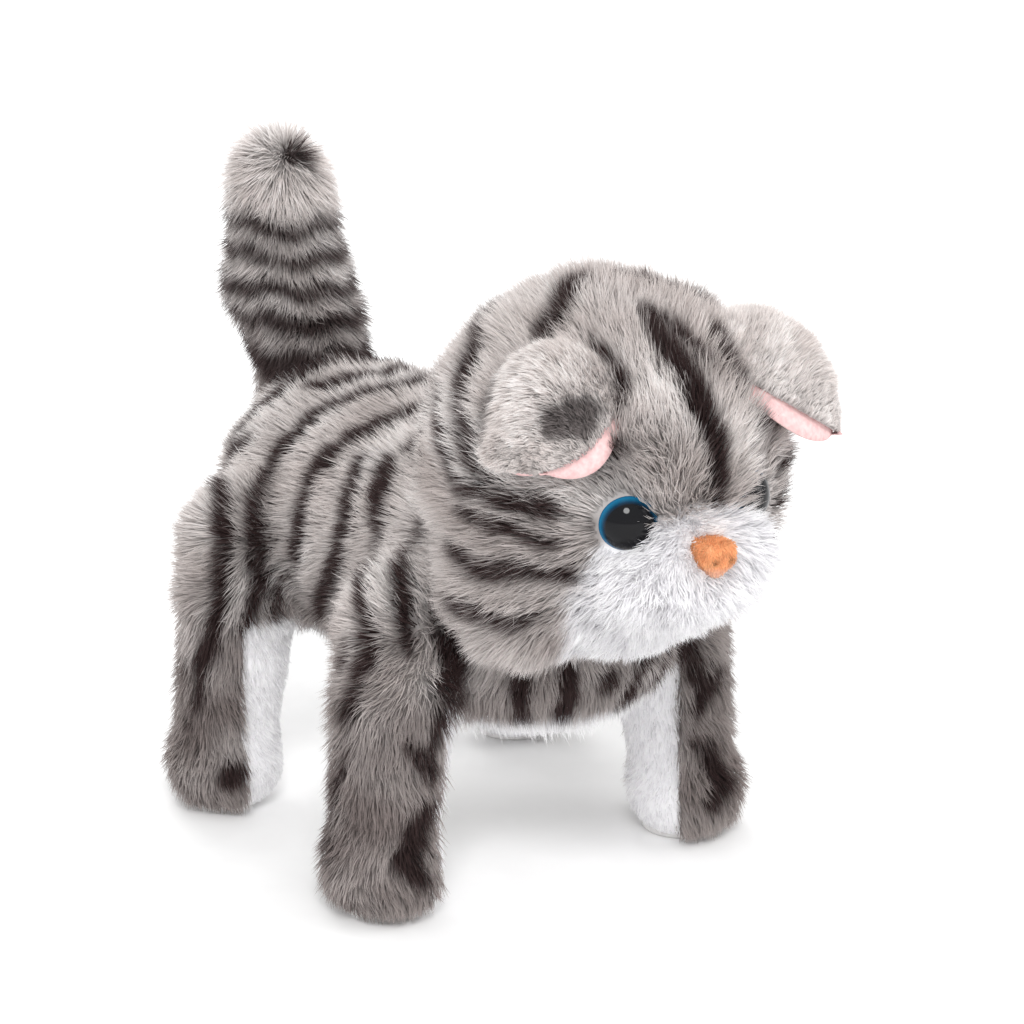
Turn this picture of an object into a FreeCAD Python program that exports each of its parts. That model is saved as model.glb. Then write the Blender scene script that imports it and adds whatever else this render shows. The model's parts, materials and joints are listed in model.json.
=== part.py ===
import FreeCAD, Part
import Sketcher
import math
import os
import re

Vector = FreeCAD.Vector
Rotation = FreeCAD.Rotation
Placement = FreeCAD.Placement

# A walking toy kitten, in millimetres. +Z is up, the kitten faces -Y and its
# left side is +X. The origin is on the floor, under the middle of its length.
SIZES = {
    # plush body: a capsule along Y with a thick pile
    "body_front": -62, "body_length": 158, "body_height": 75,
    "chest_radius": 38, "rump_radius": 36, "pile": 6, "belly_top": 47,
    # head: a ball that rocks about its own centre
    "head_y": -56, "head_height": 112, "head_radius": 41, "head_gap": 1.2,
    "stuffing_radius": 34, "skull_radius": 16, "skull_wall": 2,
    "neck_hole_radius": 12.5, "neck_bar": 6, "neck_foot_y": -24,
    # face
    "muzzle_y": -87, "muzzle_height": 94, "muzzle_wide": 21, "muzzle_deep": 12.5,
    "muzzle_tall": 14, "nose_y": -98.5, "nose_height": 103, "nose_wide": 5.5,
    "nose_deep": 3.2, "nose_tall": 4.5,
    "eye_x": 18.5, "eye_height": 110, "eye_radius": 7, "eye_bulge": 3.6,
    "eye_stem_radius": 2, "eye_stem_length": 15, "washer_radius": 6,
    "washer_thick": 1.2, "fit_gap": 0.2,
    # ears: folded flaps with a felt lining
    "ear_x": 32, "ear_y": -77, "ear_height": 131, "ear_long": 17, "ear_wide": 14,
    "ear_thick": 4.5, "ear_droop": 38, "lining_thick": 1.5,
    # tail: an upright tube bent at its root
    "tail_y": 70, "tail_height": 90, "tail_radius": 14, "tail_gap": 1.2,
    "tail_core_radius": 5, "tail_top": 145, "tail_stand_y": 88,
    "tail_lean": 40, "tail_bend_radius": 30, "tail_pin_radius": 1.5, "tail_wag": 12,
    # legs
    "hip_height": 64, "front_hip_y": -26.5, "rear_hip_y": 51, "leg_x": 44,
    "leg_radius": 14, "haunch_radius": 17, "haunch_inner": 29, "haunch_outer": 50,
    "leg_hole_radius": 18, "sole_clear": 1.2, "pad_radius": 9.5,
    "pad_thick": 3, "foot_plate": 3, "strut_wide": 10, "strut_deep": 12,
    "hub_radius": 4.5, "lever_inner": 23.8, "lever_thick": 2.5, "lever_wide": 8,
    "pin_radius": 1.5, "pin_gap": 0.06, "press_gap": 0.02, "pin_inner": 18, "pin_outer": 38,
    "pin_head": 2.6, "pin_head_thick": 1.5,
    # walking gear: cranks, slotted levers and link rods
    "crank_rise": 15, "crank_throw": 3, "crank_radius": 6, "crank_inner": 20.4,
    "crank_thick": 2, "crank_pin_long": 1, "slot_wide": 3.6, "slot_tall": 9,
    "rod_rise": 9, "rod_inner": 26.6, "rod_thick": 1.8, "rod_wide": 5,
    "rod_boss": 1.6, "rod_boss_long": 2.6,
    # gears, all of one module
    "module": 0.5, "pinion_teeth": 10, "wheel_teeth": 40, "gear_face": 4,
    "slow_gear_x": 5, "fast_gear_x": 10, "idler_angle": 175, "motor_angle": 190,
    "gear_play": 0.12, "shaft_radius": 1.5, "motor_shaft_radius": 1,
    "tooth_depth": 1.25, "tooth_rise": 0.9, "tooth_root": 1.6,
    "tooth_tip_wide": 0.55, "tooth_root_wide": 1.9, "idler_neck": 1.3,
    # motor, a flat-sided can
    "motor_end_x": 8, "motor_long": 25, "motor_round": 10, "motor_flat": 15,
    "motor_nose_radius": 3, "motor_nose_rise": 1.2,
    # chassis: a lower tub with a battery well, and an upper cover
    "case_half": 20, "case_wall": 2, "case_front": -38, "case_rear": 67,
    "case_floor": 54, "case_split": 72, "case_top": 95, "cover_front": -10,
    "well_half": 17.5, "well_front": -20, "well_rear": 62, "well_bottom": 41,
    "well_roof": 58.6, "door_front": -1, "door_rear": 56, "door_half": 15.5,
    "panel_gap": 0.6, "door_rib": 1, "door_rib_step": 2.2,
    # battery cells and contacts
    "cell_radius": 7.1, "cell_long": 50, "cell_front": 2.5, "cell_x": 7.6,
    "cell_height": 51.2, "contact_thick": 0.4, "spring_radius": 3,
    # power switch, in front of the door
    "switch_y": -11, "switch_wide": 11, "switch_deep": 6, "switch_tall": 6,
    "knob_wide": 4, "knob_deep": 3, "knob_drop": 1.6, "switch_travel": 3,
    # circuit board and speaker
    "board_height": 64, "board_thick": 1.6, "board_front": -27, "board_rear": 7,
    "board_half": 14, "speaker_y": 6, "speaker_radius": 12, "speaker_tall": 6,
    "speaker_height": 86,
    # screws
    "screw_radius": 1.3, "screw_head": 2.6, "screw_head_tall": 1.6,
    "screw_long": 10, "post_radius": 3, "well_post_radius": 4.5, "screw_x": 13.8,
}

doc = FreeCAD.newDocument("kitten")
sheet = doc.addObject("Spreadsheet::Sheet", "dims")
parts = []


def fill_sheet():
    for row, (name, value) in enumerate(SIZES.items(), start=1):
        sheet.set("A%d" % row, name)
        sheet.set("B%d" % row, str(value))
        sheet.setAlias("B%d" % row, name)
    doc.recompute()


def bound(text):
    """The same expression, with every size read from the sheet."""
    return re.sub(r"[a-z][a-z_]+", lambda word: "dims." + word.group(), str(text))


def number(text):
    """The present value of an expression in the sheet's sizes."""
    terms = re.findall(r"[+-]?[^+-]+", text.replace(" ", ""))
    return sum(product(term) for term in terms)


def product(term):
    """The value of factors joined by * and /, with a sign in front."""
    value = -1.0 if term.startswith("-") else 1.0
    for sign, factor in re.findall(r"([*/]?)([^*/]+)", term.lstrip("+-")):
        size = sheet.get(factor) if factor in SIZES else float(factor)
        value = value / size if sign == "/" else value * size
    return value


def place(item, x="0", y="0", z="0"):
    item.setExpression(".Placement.Base.x", bound(x))
    item.setExpression(".Placement.Base.y", bound(y))
    item.setExpression(".Placement.Base.z", bound(z))
    return item


def box(name, x, y, z):
    """A box between two expressions along each axis."""
    item = doc.addObject("Part::Box", name)
    for side, (low, high) in zip(("Length", "Width", "Height"), (x, y, z)):
        item.setExpression(side, bound("(%s) - (%s)" % (high, low)))
    return place(item, x[0], y[0], z[0])


def across(side, inner, outer):
    """The span from inner to outer on the left (+1) or right (-1) side."""
    if side > 0:
        return inner, outer
    return "-(%s)" % outer, "-(%s)" % inner


def cylinder_x(name, radius, x, y, z):
    item = doc.addObject("Part::Cylinder", name)
    item.setExpression("Radius", bound(radius))
    item.setExpression("Height", bound("(%s) - (%s)" % (x[1], x[0])))
    item.Placement = Placement(Vector(), Rotation(Vector(0, 1, 0), 90))
    return place(item, x[0], y, z)


def cylinder_y(name, radius, x, y, z):
    item = doc.addObject("Part::Cylinder", name)
    item.setExpression("Radius", bound(radius))
    item.setExpression("Height", bound("(%s) - (%s)" % (y[1], y[0])))
    item.Placement = Placement(Vector(), Rotation(Vector(1, 0, 0), -90))
    return place(item, x, y[0], z)


def cylinder_z(name, radius, x, y, z):
    item = doc.addObject("Part::Cylinder", name)
    item.setExpression("Radius", bound(radius))
    item.setExpression("Height", bound("(%s) - (%s)" % (z[1], z[0])))
    return place(item, x, y, z[0])


def sphere(name, radius, x, y, z):
    item = doc.addObject("Part::Sphere", name)
    item.setExpression("Radius", bound(radius))
    return place(item, x, y, z)


def ellipsoid(name, half_x, half_y, half_z, x="0", y="0", z="0"):
    item = doc.addObject("Part::Ellipsoid", name)
    item.setExpression("Radius1", bound(half_z))
    item.setExpression("Radius2", bound(half_x))
    item.setExpression("Radius3", bound(half_y))
    return place(item, x, y, z)


def fuse(name, *shapes):
    item = doc.addObject("Part::MultiFuse", name)
    item.Shapes = list(shapes)
    return item


def cut(name, base, *tools):
    item = doc.addObject("Part::Cut", name)
    item.Base = base
    item.Tool = tools[0] if len(tools) == 1 else fuse(name + "_tools", *tools)
    return item


def common(name, first, second):
    item = doc.addObject("Part::Common", name)
    item.Base = first
    item.Tool = second
    return item


def group(name, *shapes):
    """Separate pieces of one kind, kept in one node."""
    item = doc.addObject("Part::Compound", name)
    item.Links = list(shapes)
    return item


def keep(item, label):
    item.Label = label
    parts.append(item)
    return item


def sketch_on(body, role, name):
    plane = [item for item in body.Origin.OriginFeatures if item.Role == role][0]
    drawing = body.newObject("Sketcher::SketchObject", name)
    drawing.AttachmentSupport = [(plane, "")]
    drawing.MapMode = "FlatFace"
    return drawing


def drive(drawing, constraint, name, text):
    index = drawing.addConstraint(constraint)
    drawing.renameConstraint(index, name)
    drawing.setExpression("Constraints." + name, bound(text))


def axis_of(body, role):
    return [item for item in body.Origin.OriginFeatures if item.Role == role][0]


# Plush body

def capsule(name, length, front_radius, rear_radius):
    """A capsule along Y that starts at its own origin: a half outline turned round Y."""
    body = doc.addObject("PartDesign::Body", name)
    drawing = sketch_on(body, "YZ_Plane", name + "_outline")
    front, rear, total = number(front_radius), number(rear_radius), number(length)
    up = Vector(0, 0, 1)
    quarter = math.pi / 2
    front_circle = Part.Circle(Vector(front, 0, 0), up, front)
    rear_circle = Part.Circle(Vector(total - rear, 0, 0), up, rear)
    drawing.addGeometry(Part.ArcOfCircle(front_circle, quarter, 2 * quarter), False)
    drawing.addGeometry(Part.LineSegment(Vector(front, front, 0), Vector(total - rear, rear, 0)), False)
    drawing.addGeometry(Part.ArcOfCircle(rear_circle, 0, quarter), False)
    drawing.addGeometry(Part.LineSegment(Vector(total, 0, 0), Vector(0, 0, 0)), False)
    for joint in ((0, 1, 1, 1), (1, 2, 2, 2), (2, 1, 3, 1), (3, 2, 0, 2), (0, 2, -1, 1)):
        drawing.addConstraint(Sketcher.Constraint("Coincident", *joint))
    drawing.addConstraint(Sketcher.Constraint("Horizontal", 3))
    for arc, end in ((0, 1), (2, 2)):
        drawing.addConstraint(Sketcher.Constraint("PointOnObject", arc, 3, 3))
        drawing.addConstraint(Sketcher.Constraint("Vertical", arc, 3, arc, end))
    drive(drawing, Sketcher.Constraint("Radius", 0, front), "front", front_radius)
    drive(drawing, Sketcher.Constraint("Radius", 2, rear), "rear", rear_radius)
    drive(drawing, Sketcher.Constraint("DistanceX", 3, 2, 3, 1, total), "length", length)
    turned = body.newObject("PartDesign::Revolution", name + "_turned")
    turned.Profile = drawing
    turned.ReferenceAxis = (drawing, ["H_Axis"])
    turned.Angle = 360
    return body


def leg_sides():
    for end in ("front", "rear"):
        for side, word in ((1, "left"), (-1, "right")):
            yield end, side, word


def plush_body():
    """The body's pile coat and its white belly panel, with holes for what comes out."""
    skin = place(capsule("coat_outer", "body_length", "chest_radius", "rump_radius"),
                 "0", "body_front", "body_height")
    hollow = place(capsule("coat_inner", "body_length - 2 * pile", "chest_radius - pile",
                           "rump_radius - pile"), "0", "body_front + pile", "body_height")
    holes = [hollow,
             sphere("head_seat", "head_radius + head_gap", "0", "head_y", "head_height"),
             box("belly_window", ("-well_half - panel_gap", "well_half + panel_gap"),
                 ("well_front - panel_gap", "well_rear + panel_gap"),
                 ("well_bottom - 2 * pile", "case_floor"))]
    for index, swing in enumerate((-number("tail_wag"), 0, number("tail_wag"))):
        seat = tail_tube("tail_seat_%d" % index, "tail_radius + tail_gap")
        root = Vector(0, number("tail_y"), number("tail_height"))
        seat.Placement = Placement(Vector(), Rotation(Vector(0, 1, 0), swing), root)
        holes.append(seat)
    for end, side, word in leg_sides():
        holes.append(cylinder_x("leg_hole_%s_%s" % (end, word), "leg_hole_radius",
                                across(side, "case_half", "haunch_outer + pile"),
                                end + "_hip_y", "hip_height"))
    shell = cut("coat_shell", skin, *holes)
    below = box("below_belly_line", ("-2 * chest_radius", "2 * chest_radius"),
                ("body_front - pile", "body_front + body_length + pile"), ("0", "belly_top"))
    keep(cut("coat_upper", shell, below), "body_fur")
    keep(common("coat_lower", shell, below), "belly_panel")


# Head

NECK_BACK = "neck_foot_y - head_y"


def neck_angle():
    """How far the neck leans from upright, about X, in degrees."""
    back = number(NECK_BACK)
    down = number("head_height - case_split")
    return math.degrees(math.atan2(back, down))


def neck_cylinder(name, radius, length):
    """A cylinder from the head's centre, down and back along the neck."""
    item = doc.addObject("Part::Cylinder", name)
    item.setExpression("Radius", bound(radius))
    item.setExpression("Height", bound(length))
    item.Placement = Placement(Vector(), Rotation(Vector(1, 0, 0), 180 + neck_angle()))
    return place(item, "0", "head_y", "head_height")


def head_ball():
    outer = sphere("head_outer", "head_radius", "0", "head_y", "head_height")
    inner = sphere("head_inner", "stuffing_radius + fit_gap", "0", "head_y", "head_height")
    mouth = neck_cylinder("neck_hole_coat", "neck_hole_radius", "head_radius + pile")
    keep(cut("head_coat", outer, inner, mouth, *eye_holes("coat", "fit_gap")), "head_fur")
    filling = sphere("filling_ball", "stuffing_radius", "0", "head_y", "head_height")
    room = sphere("skull_room", "skull_radius + fit_gap", "0", "head_y", "head_height")
    throat = neck_cylinder("neck_hole_filling", "neck_hole_radius", "head_radius")
    eye_rooms = eye_holes("filling", "washer_radius - eye_stem_radius + fit_gap")
    keep(cut("head_filling", filling, room, throat, *eye_rooms),
         "head_stuffing")
    keep(skull(), "head_frame")


def skull():
    """A round plastic cup in the stuffing, with two bosses for the neck pin."""
    outer = sphere("skull_outer", "skull_radius", "0", "head_y", "head_height")
    inner = sphere("skull_inner", "skull_radius - skull_wall", "0", "head_y", "head_height")
    mouth = neck_cylinder("neck_hole_skull", "neck_hole_radius", "head_radius")
    cup = cut("skull_cup", outer, inner, mouth)
    bosses = [cylinder_x("skull_boss_" + word, "pin_radius + skull_wall",
                         across(side, "neck_bar", "skull_radius - skull_wall + 1"), "head_y", "head_height")
              for side, word in ((1, "left"), (-1, "right"))]
    ball = sphere("skull_limit", "skull_radius", "0", "head_y", "head_height")
    joined = fuse("skull_joined", cup, common("skull_bosses", fuse("skull_boss_pair", *bosses), ball))
    bore = cylinder_x("skull_bore", "pin_radius + pin_gap",
                      ("-skull_radius", "skull_radius"), "head_y", "head_height")
    return cut("skull_piece", joined, bore)


def neck():
    """The fixed neck: a bar from the chassis cover to an eye on the pin."""
    bar = doc.addObject("Part::Box", "neck_bar_blank")
    for side in ("Length", "Width"):
        bar.setExpression(side, bound("neck_bar"))
    reach = math.hypot(number(NECK_BACK), number("head_height - case_split"))
    bar.Height = reach + number("neck_bar")
    half = number("neck_bar") / 2
    turn = Rotation(Vector(1, 0, 0), 180 + neck_angle())
    centre = Vector(0, number("head_y"), number("head_height"))
    bar.Placement = Placement(centre + turn.multVec(Vector(-half, -half, 0)), turn)
    eye = cylinder_x("neck_eye", "pin_radius + 2 * skull_wall", ("-neck_bar / 2", "neck_bar / 2"),
                     "head_y", "head_height")
    bore = cylinder_x("neck_bore", "pin_radius + pin_gap", ("-neck_bar", "neck_bar"),
                      "head_y", "head_height")
    under = box("below_cover", ("-case_half", "case_half"), ("case_front", "cover_front"),
                ("case_floor", "case_split + case_wall"))
    foot = box("neck_foot", ("-neck_bar", "neck_bar"), ("neck_foot_y - neck_bar", "neck_foot_y + neck_bar"),
               ("case_split + case_wall", "case_split + 2 * case_wall"))
    standing = cut("neck_standing", fuse("neck_joined", bar, eye, foot), bore, under)
    keep(standing, "neck_post")
    pin = cylinder_x("neck_pin_rod", "pin_radius",
                     ("-skull_radius + skull_wall", "skull_radius - skull_wall"),
                     "head_y", "head_height")
    keep(pin, "neck_pin")


def eye_direction(side):
    """A unit vector from the head's centre through an eye."""
    x = side * number("eye_x")
    z = number("eye_height - head_height")
    radius = number("head_radius")
    y = -math.sqrt(radius * radius - x * x - z * z)
    return Vector(x, y, z).normalize()


def on_eye_axis(item, side, distance):
    """Stand an item made along Z on the line through an eye, at a distance from the centre."""
    way = eye_direction(side)
    centre = Vector(0, number("head_y"), number("head_height"))
    item.Placement = Placement(centre + way * distance, Rotation(Vector(0, 0, 1), way))
    return item


def eye_stem(name, side, radius, start, stop):
    item = doc.addObject("Part::Cylinder", name)
    item.setExpression("Radius", bound(radius))
    item.setExpression("Height", bound("(%s) - (%s)" % (stop, start)))
    return on_eye_axis(item, side, number(start))


def eye_holes(name, gap):
    holes = []
    for side, word in ((1, "left"), (-1, "right")):
        holes.append(eye_stem("eye_hole_%s_%s" % (name, word), side, "eye_stem_radius + " + gap,
                              "head_radius - eye_stem_length", "head_radius + pile"))
    return holes


def eye_dome(name, side, radius, lift):
    """A shallow dome: the top of a ball that is cut off at the head's surface."""
    ball = doc.addObject("Part::Sphere", name + "_ball")
    ball.setExpression("Radius", bound(radius))
    on_eye_axis(ball, side, number("head_radius") - number(radius) + lift)
    slab = doc.addObject("Part::Cylinder", name + "_slab")
    slab.setExpression("Radius", bound("eye_radius"))
    slab.setExpression("Height", bound("eye_radius"))
    on_eye_axis(slab, side, number("head_radius + fit_gap"))
    return common(name, ball, slab)


def eyes():
    washers = []
    for side, word in ((1, "left"), (-1, "right")):
        dome = eye_dome("dome_" + word, side, "eye_radius + 1", number("eye_bulge"))
        stem = eye_stem("stem_" + word, side, "eye_stem_radius", "head_radius - eye_stem_length",
                        "head_radius + 2 * fit_gap")
        keep(fuse("eye_piece_" + word, dome, stem), "eye_" + word)
        plate = eye_stem("washer_" + word, side, "washer_radius - fit_gap",
                         "stuffing_radius - 2 * washer_thick", "stuffing_radius - washer_thick")
        hole = eye_stem("washer_hole_" + word, side, "eye_stem_radius + pin_gap",
                        "stuffing_radius - 4 * washer_thick", "stuffing_radius")
        washers.append(cut("washer_piece_" + word, plate, hole))
    keep(group("washer_group", *washers), "eye_washers")


def face():
    mound = ellipsoid("muzzle_mound", "muzzle_wide", "muzzle_deep", "muzzle_tall",
                      "0", "muzzle_y", "muzzle_height")
    ball = sphere("head_under_muzzle", "head_radius + fit_gap", "0", "head_y", "head_height")
    keep(cut("muzzle_piece", mound, ball), "muzzle")
    tip = ellipsoid("nose_tip", "nose_wide", "nose_deep", "nose_tall", "0", "nose_y", "nose_height")
    mound_room = ellipsoid("nose_seat", "muzzle_wide + fit_gap", "muzzle_deep + fit_gap",
                           "muzzle_tall + fit_gap", "0", "muzzle_y", "muzzle_height")
    ball_room = sphere("head_under_nose", "head_radius + fit_gap", "0", "head_y", "head_height")
    keep(cut("nose_piece", tip, mound_room, ball_room), "nose")


def ear(side, word):
    """A lens-shaped flap that leans out and down, with a thin felt layer under it."""
    turn = Rotation(Vector(0, 1, 0), side * number("ear_droop"))
    layers = (("coat", "-fit_gap", "ear_thick", "ear_"),
              ("felt", "-lining_thick - fit_gap", "-2 * fit_gap", "ear_lining_"))
    for layer, low, high, label in layers:
        stem = "%s_%s" % (layer, word)
        lens = ellipsoid("lens_" + stem, "ear_long", "ear_wide", "ear_thick")
        slab = box("slab_" + stem, ("-ear_long", "ear_long"), ("-ear_wide", "ear_wide"), (low, high))
        flap = common("flap_" + stem, lens, slab)
        spot = Vector(side * number("ear_x"), number("ear_y"), number("ear_height"))
        flap.Placement = Placement(spot, turn)
        ball = sphere("head_under_" + stem, "head_radius + fit_gap", "0", "head_y", "head_height")
        keep(cut("ear_piece_" + stem, flap, ball), label + word)


# Tail

def tail_tube(name, radius):
    """A bent tube along the tail: down from the top, round the bend, then to the root."""
    body = doc.addObject("PartDesign::Body", name)
    path = sketch_on(body, "YZ_Plane", name + "_path")
    lean = math.radians(number("tail_lean"))
    stand, top = number("tail_stand_y"), number("tail_top")
    bend = number("tail_bend_radius")
    root = Vector(number("tail_y"), number("tail_height"), 0)
    # The slanted run leaves the root and meets the bend, whose centre is level with
    # the start of the upright run.
    reach = (stand - root.x - bend * (1 - math.cos(lean))) / math.sin(lean)
    corner = Vector(root.x + reach * math.sin(lean), root.y + reach * math.cos(lean), 0)
    centre = Vector(stand - bend, corner.y + bend * math.sin(lean), 0)
    # the bend turns from the slant to upright about a centre in front of the tail
    corner_on_arc = Vector(centre.x + bend * math.cos(lean), centre.y - bend * math.sin(lean), 0)
    upright = Vector(stand, centre.y, 0)
    path.addGeometry(Part.LineSegment(Vector(stand, top, 0), upright), False)
    circle = Part.Circle(centre, Vector(0, 0, 1), bend)
    path.addGeometry(Part.ArcOfCircle(circle, -lean, 0), False)
    path.addGeometry(Part.LineSegment(corner_on_arc, root), False)
    path.addConstraint(Sketcher.Constraint("Coincident", 0, 2, 1, 2))
    path.addConstraint(Sketcher.Constraint("Coincident", 1, 1, 2, 1))
    section = sketch_on(body, "XY_Plane", name + "_section")
    section.AttachmentOffset = Placement(Vector(0, 0, top), Rotation())
    section.addGeometry(Part.Circle(Vector(0, stand, 0), Vector(0, 0, 1), number(radius)), False)
    drive(section, Sketcher.Constraint("Radius", 0, number(radius)), "radius", radius)
    pipe = body.newObject("PartDesign::AdditivePipe", name + "_pipe")
    pipe.Profile = section
    pipe.Spine = (path, ["Edge1", "Edge2", "Edge3"])
    root_ball = sphere(name + "_root", radius, "0", "tail_y", "tail_height")
    top_ball = sphere(name + "_top", radius, "0", "tail_stand_y", "tail_top")
    return fuse(name + "_tube", body, root_ball, top_ball)


def tail():
    outer = tail_tube("tail_outer", "tail_radius")
    hollow = tail_tube("tail_hollow", "tail_core_radius + fit_gap")
    lever_room = box("tail_lever_room", ("-neck_bar / 2 - fit_gap", "neck_bar / 2 + fit_gap"),
                     ("case_rear", "tail_y + tail_core_radius"),
                     ("tail_height - 2 * tail_radius", "tail_height"))
    front_room = box("tail_front_room", ("-tail_radius", "tail_radius"),
                     ("tail_y - 2 * tail_radius", "case_rear + pin_gap + 2 * fit_gap"),
                     ("tail_height - 2 * tail_radius", "case_top + 2 * case_wall"))
    keep(cut("tail_coat", outer, hollow, lever_room, front_room), "tail_fur")
    core = tail_tube("tail_filling", "tail_core_radius")
    bore = cylinder_y("tail_core_bore", "tail_pin_radius + pin_gap",
                      "0", ("case_rear - pile", "tail_y + 2 * tail_core_radius"), "tail_height")
    front = box("tail_core_front", ("-tail_radius", "tail_radius"),
                ("tail_y - 2 * tail_radius", "tail_y + case_wall"),
                ("tail_height - 2 * tail_radius", "case_top + 2 * case_wall"))
    keep(cut("tail_wire", core, bore, front), "tail_core")
    arm = box("tail_arm", ("-neck_bar / 2", "neck_bar / 2"),
              ("case_rear + 2 * fit_gap", "tail_y + case_wall - fit_gap"),
              ("tail_height - 2 * tail_core_radius", "tail_height + tail_core_radius - 2"))
    arm_bore = cylinder_y("tail_arm_bore", "tail_pin_radius + pin_gap",
                          "0", ("case_rear - pile", "tail_y + pile"), "tail_height")
    keep(cut("tail_arm_piece", arm, arm_bore), "tail_lever")
    pin = cylinder_y("tail_pin_rod", "tail_pin_radius", "0",
                     ("case_rear - 2 * case_wall", "tail_y + 2 * case_wall"), "tail_height")
    keep(pin, "tail_pin")


# Legs

def leg_core(name, end, side, grow):
    """The plastic leg inside the plush: hub, strut and foot plate, larger by grow."""
    hip = end + "_hip_y"
    foot = "pad_thick"
    hub = cylinder_x(name + "_hub", "hub_radius + " + grow,
                     across(side, "lever_inner", "leg_x + strut_wide / 2 + " + grow), hip, "hip_height")
    strut = box(name + "_strut", across(side, "leg_x - strut_wide / 2 - " + grow,
                                        "leg_x + strut_wide / 2 + " + grow),
                (hip + " - strut_deep / 2 - " + grow, hip + " + strut_deep / 2 + " + grow),
                (foot, "hip_height + hub_radius + " + grow))
    plate = cylinder_z(name + "_plate", "pad_radius + " + grow, side_x(side, "leg_x"), hip,
                       (foot, foot + " + foot_plate + " + grow))
    return [hub, strut, plate]


def side_x(side, text):
    return text if side > 0 else "-(%s)" % text


def leg_plush(end, side, word):
    """A round leg with a haunch disc about the hip; its inner side is a white panel."""
    name = "%s_%s" % (end, word)
    hip = end + "_hip_y"
    disc = cylinder_x("haunch_" + name, "haunch_radius", across(side, "haunch_inner", "haunch_outer"),
                      hip, "hip_height")
    post = cylinder_z("shank_" + name, "leg_radius", side_x(side, "leg_x"), hip,
                      ("sole_clear", "hip_height"))
    blank = fuse("leg_blank_" + name, disc, post)
    room = leg_core("leg_room_" + name, end, side, "fit_gap")
    pad_room = cylinder_z("pad_room_" + name, "pad_radius + fit_gap", side_x(side, "leg_x"), hip,
                          ("0", "pad_thick + fit_gap"))
    shell = cut("leg_shell_" + name, blank, pad_room, *room)
    inner = box("inner_half_" + name,
                across(side, "haunch_inner - pile", "leg_x - strut_wide / 2 - fit_gap"),
                (hip + " - haunch_radius - pile", hip + " + haunch_radius + pile"),
                ("0", "hip_height - haunch_radius + pile"))
    keep(cut("leg_coat_" + name, shell, inner), "leg_fur_" + name)
    keep(common("leg_inside_" + name, shell, inner), "leg_lining_" + name)


def leg_frame(end, side, word):
    """Hub, strut, foot plate and the lever that the walking gear moves."""
    name = "%s_%s" % (end, word)
    hip = end + "_hip_y"
    rise = "crank_rise + slot_tall / 2 + case_wall" if end == "rear" else "rod_rise + lever_wide / 2"
    lever = box("lever_" + name, across(side, "lever_inner", "lever_inner + lever_thick"),
                (hip + " - lever_wide / 2", hip + " + lever_wide / 2"),
                ("hip_height", "hip_height + " + rise))
    boss = cylinder_x("rod_boss_" + name, "rod_boss",
                      across(side, "lever_inner + lever_thick / 2", "lever_inner + lever_thick + rod_boss_long"),
                      hip, "hip_height + rod_rise")
    whole = fuse("leg_whole_" + name, lever, boss, *leg_core("leg_core_" + name, end, side, "0"))
    bore = cylinder_x("hip_bore_" + name, "pin_radius + pin_gap",
                      across(side, "case_half", "pin_outer + 1"), hip, "hip_height")
    tools = [bore]
    if end == "rear":
        tools.append(box("slot_" + name, across(side, "lever_inner - 1", "lever_inner + lever_thick + 1"),
                         (hip + " - slot_wide / 2", hip + " + slot_wide / 2"),
                         ("hip_height + crank_rise - slot_tall / 2", "hip_height + crank_rise + slot_tall / 2")))
    return keep(cut("leg_frame_piece_" + name, whole, *tools), "leg_frame_" + name)


def foot_pad(end, side, word):
    name = "%s_%s" % (end, word)
    disc = cylinder_z("pad_disc_" + name, "pad_radius", side_x(side, "leg_x"), end + "_hip_y",
                      ("0", "pad_thick"))
    rounded = doc.addObject("Part::Chamfer", "pad_round_" + name)
    rounded.Base = disc
    doc.recompute()
    rim = [index for index, edge in enumerate(disc.Shape.Edges, start=1)
           if len(edge.Vertexes) == 1 and edge.BoundBox.ZMax < 0.1]
    rounded.Edges = [(index, 0.6, 0.6) for index in rim]
    keep(rounded, "foot_pad_" + name)


def hip_pins():
    pins = []
    for end, side, word in leg_sides():
        name = "%s_%s" % (end, word)
        rod = cylinder_x("hip_rod_" + name, "pin_radius", across(side, "pin_inner", "pin_outer"),
                         end + "_hip_y", "hip_height")
        cap = cylinder_x("hip_cap_" + name, "pin_head",
                         across(side, "pin_inner - pin_head_thick", "pin_inner"), end + "_hip_y", "hip_height")
        pins.append(fuse("hip_pin_" + name, rod, cap))
    keep(group("hip_pin_group", *pins), "hip_pins")


def link_rod(side, word):
    """A flat bar between the front and rear levers of one side."""
    centre = "hip_height + rod_rise"
    span = across(side, "rod_inner", "rod_inner + rod_thick")
    bar = box("rod_bar_" + word, span, ("front_hip_y", "rear_hip_y"),
              (centre + " - rod_wide / 2", centre + " + rod_wide / 2"))
    ends = [cylinder_x("rod_end_%s_%s" % (end, word), "rod_wide / 2 + 0.5", span, end + "_hip_y", centre)
            for end in ("front", "rear")]
    holes = [cylinder_x("rod_eye_%s_%s" % (end, word), "rod_boss + pin_gap",
                        across(side, "rod_inner - 1", "rod_inner + rod_thick + 1"), end + "_hip_y", centre)
             for end in ("front", "rear")]
    keep(cut("rod_piece_" + word, fuse("rod_blank_" + word, bar, *ends), *holes), "link_rod_" + word)


# Walking gear

CRANK_Z = "hip_height + crank_rise"


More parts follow.
